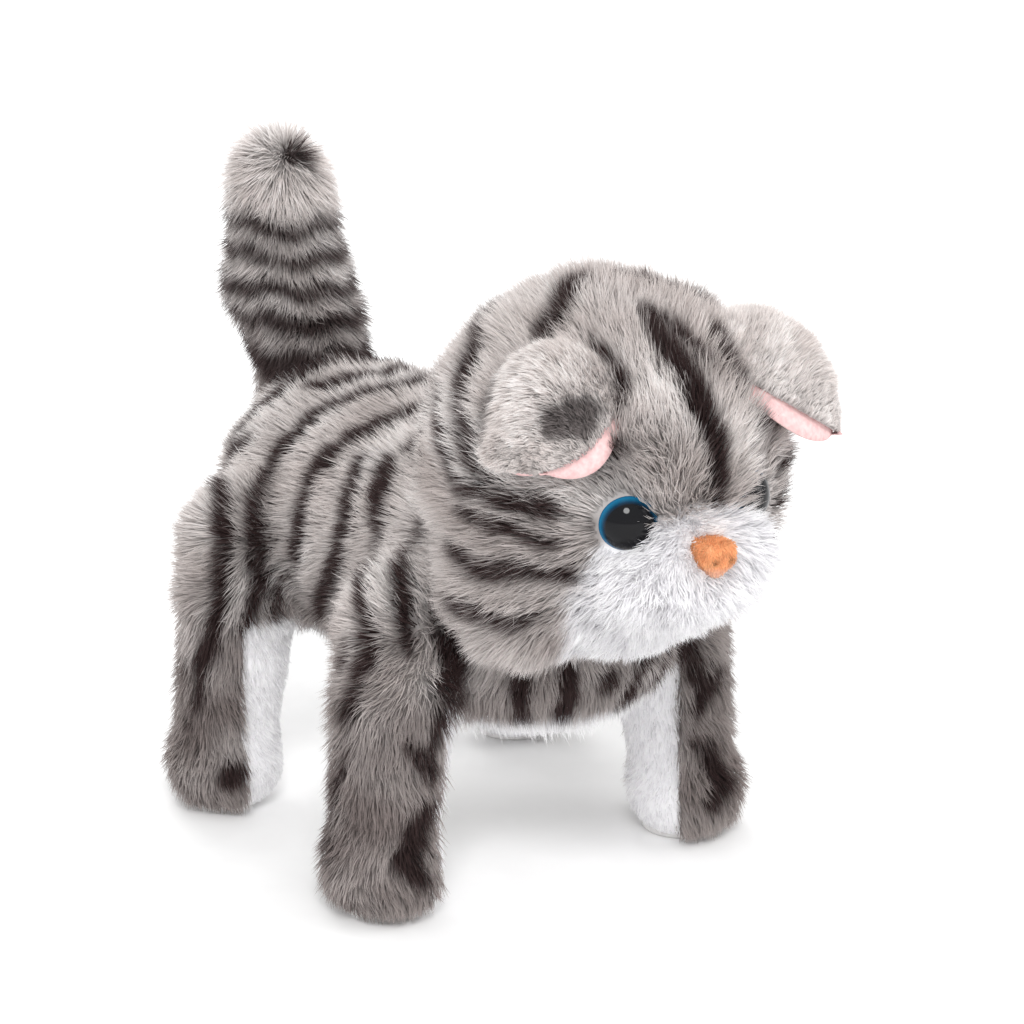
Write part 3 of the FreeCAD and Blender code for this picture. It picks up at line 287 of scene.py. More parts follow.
def net(field, low, high, step):
    """The surface where a field is zero, as points and four-sided faces.

    Each cell that the surface crosses gets one point, and each crossed edge
    of the grid one face between the four cells round it.
    """
    axes = [np.arange(a, b + step, step) for a, b in zip(low, high)]
    grid = np.stack(np.meshgrid(*axes, indexing="ij"), axis=-1)
    value = field(grid.reshape(-1, 3)).reshape(grid.shape[:3])
    cells = tuple(n - 1 for n in value.shape)
    place = np.zeros(cells + (3,))
    count = np.zeros(cells)
    crossings = []
    for axis in range(3):
        first = np.moveaxis(value, axis, 0)[:-1]
        second = np.moveaxis(value, axis, 0)[1:]
        crossed = (first < 0) != (second < 0)
        share = np.where(crossed, first / np.where(crossed, first - second, 1), 0)
        point = np.moveaxis(grid, axis, 0)[:-1].copy()
        point[..., axis] += share * step
        crossed_here = np.moveaxis(crossed, 0, axis)
        point = np.moveaxis(point, 0, axis)
        crossings.append((axis, crossed_here, np.moveaxis(first < 0, 0, axis)))
        others = [k for k in range(3) if k != axis]
        for du in (0, 1):
            for dv in (0, 1):
                cut = [slice(None)] * 3
                cut[others[0]] = slice(du, du + cells[others[0]])
                cut[others[1]] = slice(dv, dv + cells[others[1]])
                cut = tuple(cut)
                place += point[cut] * crossed_here[cut][..., None]
                count += crossed_here[cut]
    used = count > 0
    number = np.full(cells, -1)
    number[used] = np.arange(used.sum())
    points = place[used] / count[used][:, None]
    faces = []
    for axis, crossed, lower_in in crossings:
        u, v = (axis + 1) % 3, (axis + 2) % 3
        at = np.argwhere(crossed)
        at = at[(at[:, u] > 0) & (at[:, v] > 0)]
        at = at[(at[:, u] < cells[u]) & (at[:, v] < cells[v])]
        quad = []
        for du, dv in ((1, 1), (0, 1), (0, 0), (1, 0)):
            cell = at.copy()
            cell[:, u] -= du
            cell[:, v] -= dv
            quad.append(number[tuple(cell.T)])
        quad = np.stack(quad, axis=1)
        flip = ~lower_in[tuple(at.T)]
        quad[flip] = quad[flip][:, ::-1]
        faces.append(quad)
    return points, np.concatenate(faces)


def settle(field, points, rounds=3, most=1.0):
    """Points moved onto the surface, and the surface's normals there."""
    points = points.copy()
    for _ in range(rounds):
        slope = gradient(field, points)
        size = np.maximum((slope ** 2).sum(axis=1), 1e-6)
        move = np.clip(field(points) / size, -most, most)
        points -= move[:, None] * slope
    return points, unit(gradient(field, points))


def scattered(points, faces, count, rng):
    """Points spread evenly over a mesh's faces."""
    split = np.concatenate([faces[:, [0, 1, 2]], faces[:, [0, 2, 3]]])
    a, b, c = (points[split[:, k]] for k in range(3))
    area = np.linalg.norm(np.cross(b - a, c - a), axis=1)
    reach = np.cumsum(area) / area.sum()
    pick = np.searchsorted(reach, (np.arange(count) + rng.random(count)) / count)
    pick = np.minimum(pick, len(split) - 1)
    s, t = rng.random(count), rng.random(count)
    fold = s + t > 1
    s[fold], t[fold] = 1 - s[fold], 1 - t[fold]
    s, t = s[:, None], t[:, None]
    return a[pick] * (1 - s - t) + b[pick] * s + c[pick] * t


def mesh_of(name, points, faces, colour=None):
    """A smooth mesh from points in millimetres, with a colour at each point.

    faces is a list of arrays, each with a row of point numbers for each face.
    """
    mesh = bpy.data.meshes.new(name)
    mesh.vertices.add(len(points))
    mesh.vertices.foreach_set("co", (points * MM).ravel())
    corners_of = np.concatenate([rows.ravel() for rows in faces])
    mesh.loops.add(len(corners_of))
    mesh.loops.foreach_set("vertex_index", corners_of.astype(np.int32))
    sizes = np.concatenate([np.full(len(rows), rows.shape[1]) for rows in faces])
    mesh.polygons.add(len(sizes))
    starts = np.concatenate([[0], np.cumsum(sizes)[:-1]])
    mesh.polygons.foreach_set("loop_start", starts.astype(np.int32))
    mesh.polygons.foreach_set("use_smooth", np.ones(len(sizes), bool))
    mesh.update(calc_edges=True)
    if colour is not None:
        # The colour at each point, with the painted shade that it carries.
        layer = mesh.color_attributes.new("colour_and_shade", "FLOAT_COLOR", "POINT")
        rgba = np.ones((len(points), 4))
        rgba[:, :3] = np.clip(colour, 0, 1)
        layer.data.foreach_set("color", rgba.ravel())
    return mesh


# ---------------------------------------- colours

def srgb(red, green, blue):
    """A colour given as 0 to 255 on screen, as linear light."""
    value = np.array([red, green, blue]) / 255
    return np.where(value < 0.04045, value / 12.92, ((value + 0.055) / 1.055) ** 2.4)


PALE = srgb(240, 235, 233)
GREY = srgb(208, 200, 197)
# A darker grey that lower parts are mixed towards: on the body it is painted shade, and the
# head's lower part and the tail's base are mixed towards it too.
LOW_GREY = srgb(152, 141, 138)
DARK = srgb(66, 50, 49)
WHITE = srgb(253, 252, 254)
ORANGE = srgb(243, 186, 138)


def waves(p, scale, seed):
    """A smooth random value from -1 to 1 that wanders through space."""
    rng = np.random.default_rng(seed)
    total = np.zeros(len(p))
    for _ in range(6):
        way = rng.normal(size=3)
        way *= rng.uniform(0.6, 1.5) / np.linalg.norm(way)
        total += np.sin(p @ way * (2 * math.pi / scale) + rng.uniform(0, 6.3))
    return total / 3.0


def mixed(a, b, share):
    share = np.asarray(share)[:, None]
    return a * (1 - share) + b * share


def laid(field, route):
    """A stripe's middle line, laid on the pile over a field in short steps."""
    route = np.array(route, float)
    steps = np.linalg.norm(np.diff(route, axis=0), axis=1)
    along = np.concatenate([[0], np.cumsum(steps)])
    at = np.linspace(0, along[-1], max(3, int(along[-1] / 3)))
    line = np.stack([np.interp(at, along, route[:, k]) for k in range(3)], axis=1)
    return settle(lambda p: field(p) - LIE, line, rounds=8, most=3)[0]


def stripe(p, half, line):
    """How much of a point is in a stripe along a line, thinner at its ends."""
    soft = 1.0
    best = np.full(len(p), 1e9)
    where = np.zeros(len(p))
    for k in range(len(line) - 1):
        along = line[k + 1] - line[k]
        share = np.clip((p - line[k]) @ along / (along @ along), 0, 1)
        away = np.linalg.norm(p - line[k] - share[:, None] * along, axis=1)
        nearer = away < best
        best[nearer] = away[nearer]
        where[nearer] = ((k + share) / (len(line) - 1))[nearer]
    end, more = 0.64, 0.42      # its width at its ends, and how much its middle adds
    half = half * (end + more * np.sqrt(np.sin(math.pi * np.clip(where, 0.02, 0.98))))
    return 1 - smooth(half - soft, half + soft, best)


# Stripes lie on the laid pile, and both sides have the same: x is how far
# from the middle. Each is its half width and the points of its middle line.
BODY_STRIPES = [
    (3.4, [(29, 72, 89), (22, 66, 99), (12, 64, 105), (0, 60, 108)]),
    (3.2, [(16, 55, 106), (9, 47, 109), (0, 43, 110)]),
    (3.0, [(0, 29, 111), (9, 33, 110), (20, 41, 104), (29, 45, 95),
           (35, 45, 84), (40, 40, 75), (42, 34, 62), (45, 35, 49)]),
    (3.2, [(10, 10, 111), (20, 18, 105), (29, 25, 97), (35, 26, 86),
           (38, 28, 70), (37, 32, 54), (35, 35, 45)]),
    (3.4, [(27, 11, 100), (32, 8, 93), (36, 6, 86), (38, 7, 77),
           (37, 13, 66), (32, 25, 53)]),
    (4.6, [(26, 0, 101), (30, -3, 97), (34, -6, 92)]),
    (2.7, [(34, -7, 92), (37, -12, 84), (41, -21, 78), (48, -31, 74),
           (52, -34, 68), (56, -32, 60), (58, -28, 50)]),
    (2.9, [(33, -26, 94), (37, -25, 88), (38, -28, 82), (41, -34, 76),
           (44, -40, 69)]),
    (3.0, [(38, 56, 79), (43, 47, 77), (48, 41, 70), (52, 39, 60),
           (54, 40, 48), (57, 43, 36), (59, 47, 24)]),
    (3.4, [(34, -38, 82), (36, -39, 77), (35, -42, 71), (34, -44, 62),
           (33, -44, 53), (38, -43, 44), (42, -43, 41)]),
    (3.0, [(46, -42, 46), (41, -44, 42), (38, -43, 37)]),
    (2.4, [(57, -32, 43), (59, -25, 33), (60, -21, 22), (60, -25, 13)]),
    (4.2, [(38, -43, 28), (43, -45, 23), (47, -45, 17), (42, -47, 12)]),
    (2.0, [(54, -28, 69), (57, -24, 62)]),
    (3.6, [(48, 32, 16), (53, 34, 10)]),
    (3.0, [(22, -52, 68), (20, -52, 56), (19, -50, 42)]),
    (3.2, [(11, -58, 66), (10, -57, 53), (10, -54, 40)]),
    (3.0, [(0, -60, 60), (0, -59, 54)]),
    (2.3, [(12, -8, 113), (17, -4, 110), (23, -2, 106)]),
    (3.2, [(30, 62, 92), (33, 70, 78), (30, 82, 66), (22, 90, 60)]),
    (3.2, [(20, 84, 88), (12, 91, 82), (0, 94, 80)]),
    (3.0, [(40, 62, 62), (44, 66, 50), (46, 67, 38)]),
]
HEAD_STRIPES = [
    (3.3, [(-2, -75, 156), (-1, -84, 150), (1, -92, 140), (3, -97, 130),
           (3, -99, 122), (3, -99, 113)]),
    (2.3, [(3, -79, 155), (6, -84, 150), (9, -88, 145)]),
]
SIDE_STRIPES = [
    (3.2, [(4, -52, 159), (12, -56, 157), (19, -62, 154), (25, -64, 150)]),
    (2.8, [(14, -30, 149), (21, -35, 147), (31, -45, 143), (37, -49, 137),
           (41, -54, 131), (42, -61, 126)]),
    (2.8, [(29, -68, 145), (34, -66, 141), (37, -64, 136), (40, -66, 130),
           (40, -72, 125)]),
    # This one is painted shadow: the ear's shade on the cheek under it.
    (2.6, [(39, -74, 125), (33, -83, 127), (26, -89, 128), (21, -92, 129)]),
    (2.4, [(18, -76, 149), (16, -82, 146), (16, -87, 141), (19, -88, 136)]),
    (2.2, [(36, -36, 132), (42, -46, 125), (44, -54, 117), (45, -60, 112)]),
    (2.0, [(43, -53, 127), (43, -60, 122), (42, -68, 117)]),
    (2.6, [(45, -60, 114), (41, -74, 114), (36, -83, 113), (29, -90, 110)]),
    (2.2, [(45, -58, 108), (42, -71, 107), (38, -79, 105), (32, -86, 103)]),
    (2.4, [(42, -50, 97), (41, -65, 95), (37, -77, 96), (29, -87, 96)]),
    (2.4, [(36, -52, 85), (36, -62, 84), (31, -73, 84)]),
    (2.6, [(22, -20, 140), (32, -26, 132), (38, -30, 120), (39, -31, 106)]),
    (2.6, [(0, -12, 126), (12, -13, 120), (20, -15, 108), (24, -18, 94)]),
    (2.6, [(0, -22, 145), (9, -19, 140), (15, -17, 132)]),
]
BODY_STRIPES = [(half, laid(coat, route)) for half, route in BODY_STRIPES]
HEAD_STRIPES = [(half, laid(face, route)) for half, route in HEAD_STRIPES]
SIDE_STRIPES = [(half, laid(face, route)) for half, route in SIDE_STRIPES]
TAIL_RINGS = [
    # height, half width
    (139.0, 1.9),
    (131.5, 1.9),
    (123.5, 2.1),
    (115.5, 2.3),
    (105.5, 4.2),
]


def all_stripes(p, stripes):
    total = np.zeros(len(p))
    for half, route in stripes:
        total = np.maximum(total, stripe(p, half, route))
    return total


def white_panel(p):
    """The short white cloth: the belly and the inner side of each leg."""
    across = np.abs(p[:, 0])
    total = 1 - smooth(BELLY_Z - 1.2, BELLY_Z + 0.8, p[:, 2])
    total *= across < LEG_X - 16
    leg_reach, leg_top = 20, BELLY_Z + 4
    # Its bearing goes round each leg: 0 is ahead, and 90 is towards the middle.
    for hip, first, last in ((HIP_FRONT, 38, 150), (HIP_REAR, -8, 160)):
        out = across - (LEG_X - 0.5)
        fore = p[:, 1] - hip[1] + 1
        bearing = np.degrees(np.arctan2(-out, -fore))
        inner = (bearing > first) & (bearing < last)
        near = (np.hypot(out, fore) < leg_reach) & (p[:, 2] < leg_top)
        total = np.maximum(total, (inner & near).astype(float))
    return total


def body_colour_and_shade(p):
    """The colour of the coat where its pile ends at a point, with painted shade low on the body.
    """
    # Painted shade: the coat is mixed towards a darker grey lower down, where shade falls, and
    # less on the haunch, which is lit.
    haunch = smooth(34, 62, p[:, 1]) * smooth(30, 62, p[:, 2])
    low = (1 - smooth(34, 92, p[:, 2])) * (1 - 0.75 * haunch)
    total = mixed(PALE, GREY, np.clip(0.35 + 0.45 * waves(p, 34, 5), 0, 1))
    total = mixed(total, LOW_GREY, np.clip(low * 0.8 + 0.2 * waves(p, 19, 6), 0, 1))
    wobble = np.stack([waves(p, 13, seed) for seed in (1, 2, 3)], axis=1)
    dark = all_stripes(mirrored(p) + 0.9 * wobble, BODY_STRIPES)
    total = mixed(total, DARK, dark)
    return mixed(total, WHITE, white_panel(p))


def muzzle_share(p):
    """1 on the white face below the eyes, 0 on the grey head."""
    edge = [
        # how far across its edge is, and how high
        (0, 112), (7, 111), (14, 109.5), (19, 108), (23.5, 104.5),
        (26.5, 98), (27.5, 90), (25.5, 82), (21, 70),
    ]
    across = np.abs(p[:, 0])
    heights = np.array([z for _, z in edge])[::-1]
    widths = np.array([x for x, _ in edge])[::-1]
    limit = np.interp(p[:, 2], heights, widths, left=20, right=0)
    front = smooth(HEAD[1] - 4, HEAD[1] - 12, p[:, 1])
    return smooth(-1.0, 1.0, limit - across) * front * (p[:, 2] < 112.5)


def head_colour_and_shade(p):
    total = mixed(PALE, GREY, np.clip(0.4 + 0.5 * waves(p, 28, 8), 0, 1))
    below = 1 - smooth(88, 122, p[:, 2])
    total = mixed(total, LOW_GREY, np.clip(below * 0.32 + 0.1 * waves(p, 15, 9), 0, 1))
    wobble = np.stack([waves(p, 12, seed) for seed in (11, 12, 13)], axis=1)
    dark = all_stripes(p + 0.8 * wobble, HEAD_STRIPES)
    dark = np.maximum(dark, all_stripes(mirrored(p) + 0.8 * wobble, SIDE_STRIPES))
    brow = (24, -91, 124)
    away = np.linalg.norm(mirrored(p) - brow, axis=1)
    dark = np.maximum(dark, 0.45 * (1 - smooth(3, 11, away)))
    total = mixed(total, DARK, dark)
    return mixed(total, WHITE, muzzle_share(p))


def tail_dye(p):
    total = mixed(PALE, GREY, np.clip(0.3 + 0.4 * waves(p, 22, 15), 0, 1))
    height = p[:, 2] + 1.4 * waves(p, 17, 16)
    dark = np.zeros(len(p))
    for level, half in TAIL_RINGS:
        gap = np.abs(height - level)
        dark = np.maximum(dark, 1 - smooth(half - 1.0, half + 1.4, gap))
    spot = np.linalg.norm(p - (0, TAIL_Y - 10, TAIL_Z + 11), axis=1)
    dark = np.maximum(dark, 1 - smooth(5.0, 7.5, spot + waves(p, 6, 17)))
    low = 1 - smooth(96, 128, p[:, 2])
    total = mixed(total, LOW_GREY, np.clip(low * (0.7 + 0.4 * waves(p, 12, 18)), 0, 1))
    return mixed(total, DARK, dark * 0.95)


# ---------------------------------------- pile

def pile(name, root, normal, sweep, length, colour_and_shade, rng, width=0.27, lift=1.0,
         lie=0.4, clump=2.1, pull=0.5, stray=0.2, painted_shade_and_tone=(0.52, 0.94, 1.14),
         floor=0.35):
    """A mesh of tapered strands that stand on a cloth and lean as they grow.

    root, normal and sweep are a row for each strand, and length is in
    millimetres. A strand starts at lift times the normal plus its sweep, and
    ends nearer the cloth, at lie times the normal. Strands of one small cell
    lean together into a lock. The colour function gives the colour at a point
    of the pile, with any painted shade in it. The three shade factors scale it
    at a strand's root, middle and tip: darker towards the root and lighter at
    the tip. This is partly the fur's own darker roots and paler tips, and
    partly painted shade deep in the pile and painted light on the tips.
    shades darkens it at a strand's root, middle and tip.
    """
    count = len(root)
    flow = np.stack([waves(root, 16, seed) for seed in (24, 25, 26)], axis=1)
    sweep = sweep + 0.3 * flow
    sweep = sweep - normal * (sweep * normal).sum(axis=1)[:, None]
    tilt = rng.normal(0, stray, (count, 3))
    start = unit(normal * lift + sweep + tilt)
    end = unit(normal * lie + sweep + 1.5 * tilt)
    tip = root + length[:, None] * (start + end) / 2

    warp = np.stack([waves(root, 7, seed) for seed in (21, 22, 23)], axis=1)
    cell = np.floor((root + 0.8 * warp) / clump).astype(int)
    _, lock = np.unique(cell, axis=0, return_inverse=True)
    lock = lock.ravel()
    share = np.bincount(lock)
    middle_tip = np.stack(
        [np.bincount(lock, tip[:, k]) / share for k in range(3)], axis=1
    )
    lean = rng.normal(0, 0.12, (len(share), 3)) * length.mean()
    drawn = (middle_tip + lean)[lock] - tip
    drawn *= (pull * rng.uniform(0.5, 1.1, count))[:, None]

    halfway = root + length[:, None] * (0.375 * start + 0.125 * end) + drawn / 4
    tip = tip + drawn
    for line in (halfway, tip):
        line[:, 2] = np.maximum(line[:, 2], floor)

    direction = unit(tip - root)
    side = unit(np.cross(direction, normal))
    roll = rng.uniform(-1.0, 1.0, count)[:, None]
    side = side * np.cos(roll) + np.cross(direction, side) * np.sin(roll)
    side = side * width / 2 * rng.uniform(0.85, 1.15, count)[:, None]
    points = np.stack(
        [root - side, root + side, halfway - 0.85 * side, halfway + 0.85 * side, tip],
        axis=1,
    )

    tone = rng.normal(1.0, 0.09, count) * rng.normal(1.0, 0.05, len(share))[lock]
    tone = np.clip(tone, 0.6, 1.4)[:, None]
    shift = rng.normal(0, 0.4, (count, 3))
    low = colour_and_shade(halfway + normal + shift) * tone
    high = colour_and_shade(tip + shift) * tone
    # The root and middle are darkened and the tip lightened: painted shade deep in the pile and
    # painted light on the tips, and partly the fur's own darker roots and paler tips.
    colour = np.stack(
        [low * painted_shade_and_tone[0], low * painted_shade_and_tone[0], low * painted_shade_and_tone[1], low * painted_shade_and_tone[1],
         high * painted_shade_and_tone[2]],
        axis=1,
    )

    first = (np.arange(count) * 5)[:, None]
    return mesh_of(
        name, points.reshape(-1, 3),
        [first + [0, 1, 3, 2], first + [2, 3, 4]], colour.reshape(-1, 3),
    )


# ---------------------------------------- materials

def point_coloured(name, roughness, glow):
    """Pile or cloth in the colour of its points, painted shade included, which lets some light
    by.
    """
    group = bpy.data.node_groups.new(name, "ShaderNodeTree")
    group.interface.new_socket(
        "Shader", in_out="OUTPUT", socket_type="NodeSocketShader"
    )
    nodes, links = group.nodes, group.links
    # The point colours, painted shade included.
    colour_and_shade = nodes.new("ShaderNodeVertexColor")
    colour_and_shade.layer_name = "colour_and_shade"
    surface = nodes.new("ShaderNodeBsdfPrincipled")
    surface.inputs["Specular IOR Level"].default_value = 0.25
    links.new(colour_and_shade.outputs["Color"], surface.inputs["Base Color"])
    grain = nodes.new("ShaderNodeTexNoise")
    grain.inputs["Scale"].default_value = 900
    grain.inputs["Detail"].default_value = 2
    spread = nodes.new("ShaderNodeMapRange")
    spread.inputs["To Min"].default_value = roughness - 0.12
    spread.inputs["To Max"].default_value = roughness + 0.12
    links.new(grain.outputs["Fac"], spread.inputs["Value"])
    links.new(spread.outputs["Result"], surface.inputs["Roughness"])
    through = nodes.new("ShaderNodeBsdfTranslucent")
    links.new(colour_and_shade.outputs["Color"], through.inputs["Color"])
    both = nodes.new("ShaderNodeMixShader")
    both.inputs["Fac"].default_value = glow
    links.new(surface.outputs["BSDF"], both.inputs[1])
    links.new(through.outputs["BSDF"], both.inputs[2])
    out = nodes.new("NodeGroupOutput")
    links.new(both.outputs["Shader"], out.inputs["Shader"])
    material = bpy.data.materials.new(name)
    material.use_nodes = True
    tree = material.node_tree
    tree.nodes.clear()
    user = tree.nodes.new("ShaderNodeGroup")
    user.node_tree = group
    end = tree.nodes.new("ShaderNodeOutputMaterial")
    tree.links.new(user.outputs["Shader"], end.inputs["Surface"])
    return material


def moulded(name, first, second, roughness, metallic=0.0, scale=260.0,
            bump=0.15):
    """A solid material whose colour, gloss and surface all vary a little."""
    material = bpy.data.materials.new(name)
    material.use_nodes = True
    nodes, links = material.node_tree.nodes, material.node_tree.links
    surface = nodes["Principled BSDF"]
    surface.inputs["Metallic"].default_value = metallic
    place = nodes.new("ShaderNodeTexCoord")
    noise = nodes.new("ShaderNodeTexNoise")
    noise.inputs["Scale"].default_value = scale
    noise.inputs["Detail"].default_value = 5
    links.new(place.outputs["Object"], noise.inputs["Vector"])
    ramp = nodes.new("ShaderNodeValToRGB")
    ramp.color_ramp.elements[0].position = 0.3
    ramp.color_ramp.elements[1].position = 0.7
    ramp.color_ramp.elements[0].color = (*first, 1)
    ramp.color_ramp.elements[1].color = (*second, 1)
    links.new(noise.outputs["Fac"], ramp.inputs["Fac"])
    links.new(ramp.outputs["Color"], surface.inputs["Base Color"])
    spread = nodes.new("ShaderNodeMapRange")
    spread.inputs["To Min"].default_value = roughness - 0.06
    spread.inputs["To Max"].default_value = roughness + 0.06
    links.new(noise.outputs["Fac"], spread.inputs["Value"])
    links.new(spread.outputs["Result"], surface.inputs["Roughness"])
    lift = nodes.new("ShaderNodeBump")
    lift.inputs["Strength"].default_value = bump
    lift.inputs["Distance"].default_value = 0.0003
    links.new(noise.outputs["Fac"], lift.inputs["Height"])
    links.new(lift.outputs["Normal"], surface.inputs["Normal"])
    return material


fur = point_coloured("plush_pile", 0.62, 0.45)
cloth = point_coloured("plush_cloth", 0.9, 0.1)
felt = moulded("pink_felt", srgb(220, 176, 176), srgb(236, 202, 200), 0.9,
               scale=900, bump=0.5)

PART_MATERIALS = {
    "fur_grey": (srgb(150, 142, 140), srgb(185, 178, 176), 0.9),
    "fur_white": (srgb(235, 234, 236), srgb(250, 249, 250), 0.9),
    "felt_pink": (srgb(226, 172, 178), srgb(244, 206, 208), 0.9),
    "stuffing": (srgb(232, 230, 224), srgb(248, 246, 242), 0.95),
    "nose_flock": (srgb(226, 128, 76), srgb(244, 156, 104), 0.85),
    "eye_gloss": (srgb(12, 11, 14), srgb(22, 20, 24), 0.12),
    "shell_plastic": (srgb(222, 221, 217), srgb(234, 233, 230), 0.42),
    "gear_plastic": (srgb(206, 205, 196), srgb(222, 221, 214), 0.45),
    "steel": (srgb(150, 152, 156), srgb(182, 184, 188), 0.3),
    "brass": (srgb(170, 136, 70), srgb(198, 164, 96), 0.32),
    "sole_rubber": (srgb(224, 222, 221), srgb(238, 236, 235), 0.75),
    "cell_jacket": (srgb(40, 52, 66), srgb(54, 68, 84), 0.38),
    "knob_black": (srgb(24, 24, 26), srgb(36, 36, 38), 0.5),
    "board_green": (srgb(28, 78, 50), srgb(40, 96, 64), 0.45),
}


def dress_parts():
    """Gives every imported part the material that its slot's name calls for."""
    made = {}
    for slot, (first, second, roughness) in PART_MATERIALS.items():
        made[slot] = moulded(
            "part_" + slot, first, second, roughness,
            metallic=1.0 if slot in ("steel", "brass") else 0.0,
            bump=0.35 if slot == "sole_rubber" else 0.12,
        )
    for part in frame["nodes"].values():
        for place in part.material_slots:
            name = place.material.name.split(".")[0] if place.material else ""
            if name in made:
                place.material = made[name]


# ---------------------------------------- pieces

def piece_from(name, mesh, material):
    mesh.materials.append(material)
    piece = bpy.data.objects.new(name, mesh)
    bpy.context.scene.collection.objects.link(piece)
    return piece


def cloth_piece(name, field, low, high, colour_and_shade, node, shade=0.55):
    """The cloth of a field as a piece that stands for a part, which it hides.

    shade is painted shade: it makes the cloth darker than the ends of its pile, which shades it,
    but not where it is white.
    """
    step = 2.0
    points, faces = net(field, low, high, step)
    points, normal = settle(field, points, most=step / 2)
    colour = colour_and_shade(points + normal * LIE * 0.8)
    # Painted shade: the cloth under the pile is darkened, and white cloth is left light.
    pale = smooth(0.75, 0.9, colour.min(axis=1))
    colour *= (shade + (1 - shade) * pale)[:, None]
    piece = piece_from(name, mesh_of(name, points, [faces], colour), cloth)
    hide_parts(node)
    return piece


# How many strands are tried. Those where pieces meet or turn are left out.
BODY_STRANDS = 150000
HEAD_STRANDS = 90000
TAIL_STRANDS = 32000
EAR_STRANDS = 15000
NOSE_STRANDS = 5200

# How a slot's pile differs from pile()'s own settings.
NAP = {
    "fur_grey": {},
    "fur_white": {"width": 0.22, "clump": 1.4, "painted_shade_and_tone": (0.92, 0.98, 1.0)},
}


def body_sweep(p):
    """Which way the coat's pile lies: back on the trunk, down on the legs."""
    low = 1 - smooth(46, 66, p[:, 2])
    front = 1 - smooth(-52, -38, p[:, 1])
    back = np.array([0.0, 1.0, -0.22])
    down = np.array([0.0, -0.25, -1.0])
    total = back * (1 - low)[:, None] + down * low[:, None]
    return total + np.array([0, -0.8, -0.9]) * front[:, None] * 0.8


def leg_share(p, hip):
    """1 where a point belongs to a leg more than to the trunk."""
    return (leg(p, hip) < trunk(p) + 0.5) & (p[:, 2] < 66)


def blend_leg(piece, name):
    """Bakes a leg piece's placing into its mesh. The heights of the leg's top and bottom are
    worked out but not used.
    """
    hip = LEGS[name] * MM
    top, bottom = hip.copy(), hip.copy()
    top[2], bottom[2] = 0.066, 0.040
    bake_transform(piece)


def build_body():
    rng = np.random.default_rng(40)
    low = np.array([-62, BODY_LOW[1] - 4, 0])
    high = np.array([62, BODY_HIGH[1] + 4, BODY_HIGH[2] + 4])

    body_cloth = cloth_piece("body_cloth", trunk_cloth, low, high, body_colour_and_shade,
                             "body_fur")
    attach(body_cloth, "body")
    belly = cloth_piece("belly_cloth", belly_cloth, low, high, body_colour_and_shade,
                        "belly_panel", shade=0.85)
    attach(belly, "body")

    points, faces = net(coat, low, high, 2.5)
    root = scattered(points, faces, BODY_STRANDS, rng)
    root, normal = settle(coat, root, rounds=2)
    keep = head_room(root) > 1.5
    keep &= tail_room(root) > 0
    sole_z, belly_x = 2.5, 24
    keep &= root[:, 2] > sole_z
    keep &= (window(root, 1, 60) > 2.5) | (np.abs(root[:, 0]) > belly_x)
    root, normal = root[keep], normal[keep]
    white = white_panel(root + normal * 2) > 0.5
    sweep = body_sweep(root)
    length = 6.2 + 1.3 * smooth(10, 60, root[:, 2])
    length *= rng.uniform(0.8, 1.12, len(root))
    length *= 1 + 0.12 * waves(root, 11, 31)
    length *= 0.45 + 0.55 * smooth(2, 9, root[:, 2])
    length[white] *= 0.36

    taken = np.zeros(len(root), bool)
    for name, hip in LEGS.items():
        mine = leg_share(root, hip) & ~taken & (np.sign(root[:, 0]) == np.sign(hip[0]))
        mine &= np.abs(root[:, 1] - hip[1]) < 34
        taken |= mine
        leg_low = np.array([hip[0] - 26, hip[1] - 20, 0])
        leg_high = np.array([hip[0] + 26, hip[1] + 20, 86])
        end, side = name.split("_")[1:]
        tube = cloth_piece(name + "_cloth", lambda p, hip=hip: leg(p, hip),
                           leg_low, leg_high, body_colour_and_shade, f"leg_fur_{end}_{side}")
        blend_leg(tube, name)
        for kind, which, slot in (("pile", ~white, "fur_grey"),
                                  ("lining", white, "fur_white")):
            pick = mine & which
            mesh = pile(f"{name}_{kind}", root[pick], normal[pick], sweep[pick],
                        length[pick], body_colour_and_shade, rng, **NAP[slot])
            part = piece_from(f"{name}_{kind}", mesh, fur)
            if kind == "lining":
                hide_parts(f"leg_lining_{end}_{side}")
            blend_leg(part, name)

    for kind, which, slot in (("body_pile", ~white, "fur_grey"),
                              ("belly_pile", white, "fur_white")):
        pick = ~taken & which
        mesh = pile(kind, root[pick], normal[pick], sweep[pick], length[pick],
                    body_colour_and_shade, rng, **NAP[slot])
        part = piece_from(kind, mesh, fur)
        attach(part, "body")


def about_eyes(p):
    """Each point's way out from its eye's axis, its distance from that axis,
    and 1 on the outer side of the eye, where the pile is combed off it."""
    other = mirrored(p) - HEAD
    way = other - (other @ EYE_AXIS)[:, None] * EYE_AXIS
    gap = np.linalg.norm(way, axis=1)
    outward = unit(np.array([[-EYE_AXIS[1], EYE_AXIS[0], 0.25]]))[0]
    outer = smooth(-0.4, 0.6, unit(way) @ outward)
    gap[other @ EYE_AXIS < 0] = 99      # behind the head, so far from any eye
    way[:, 0] *= np.sign(p[:, 0])
    return way, gap, outer


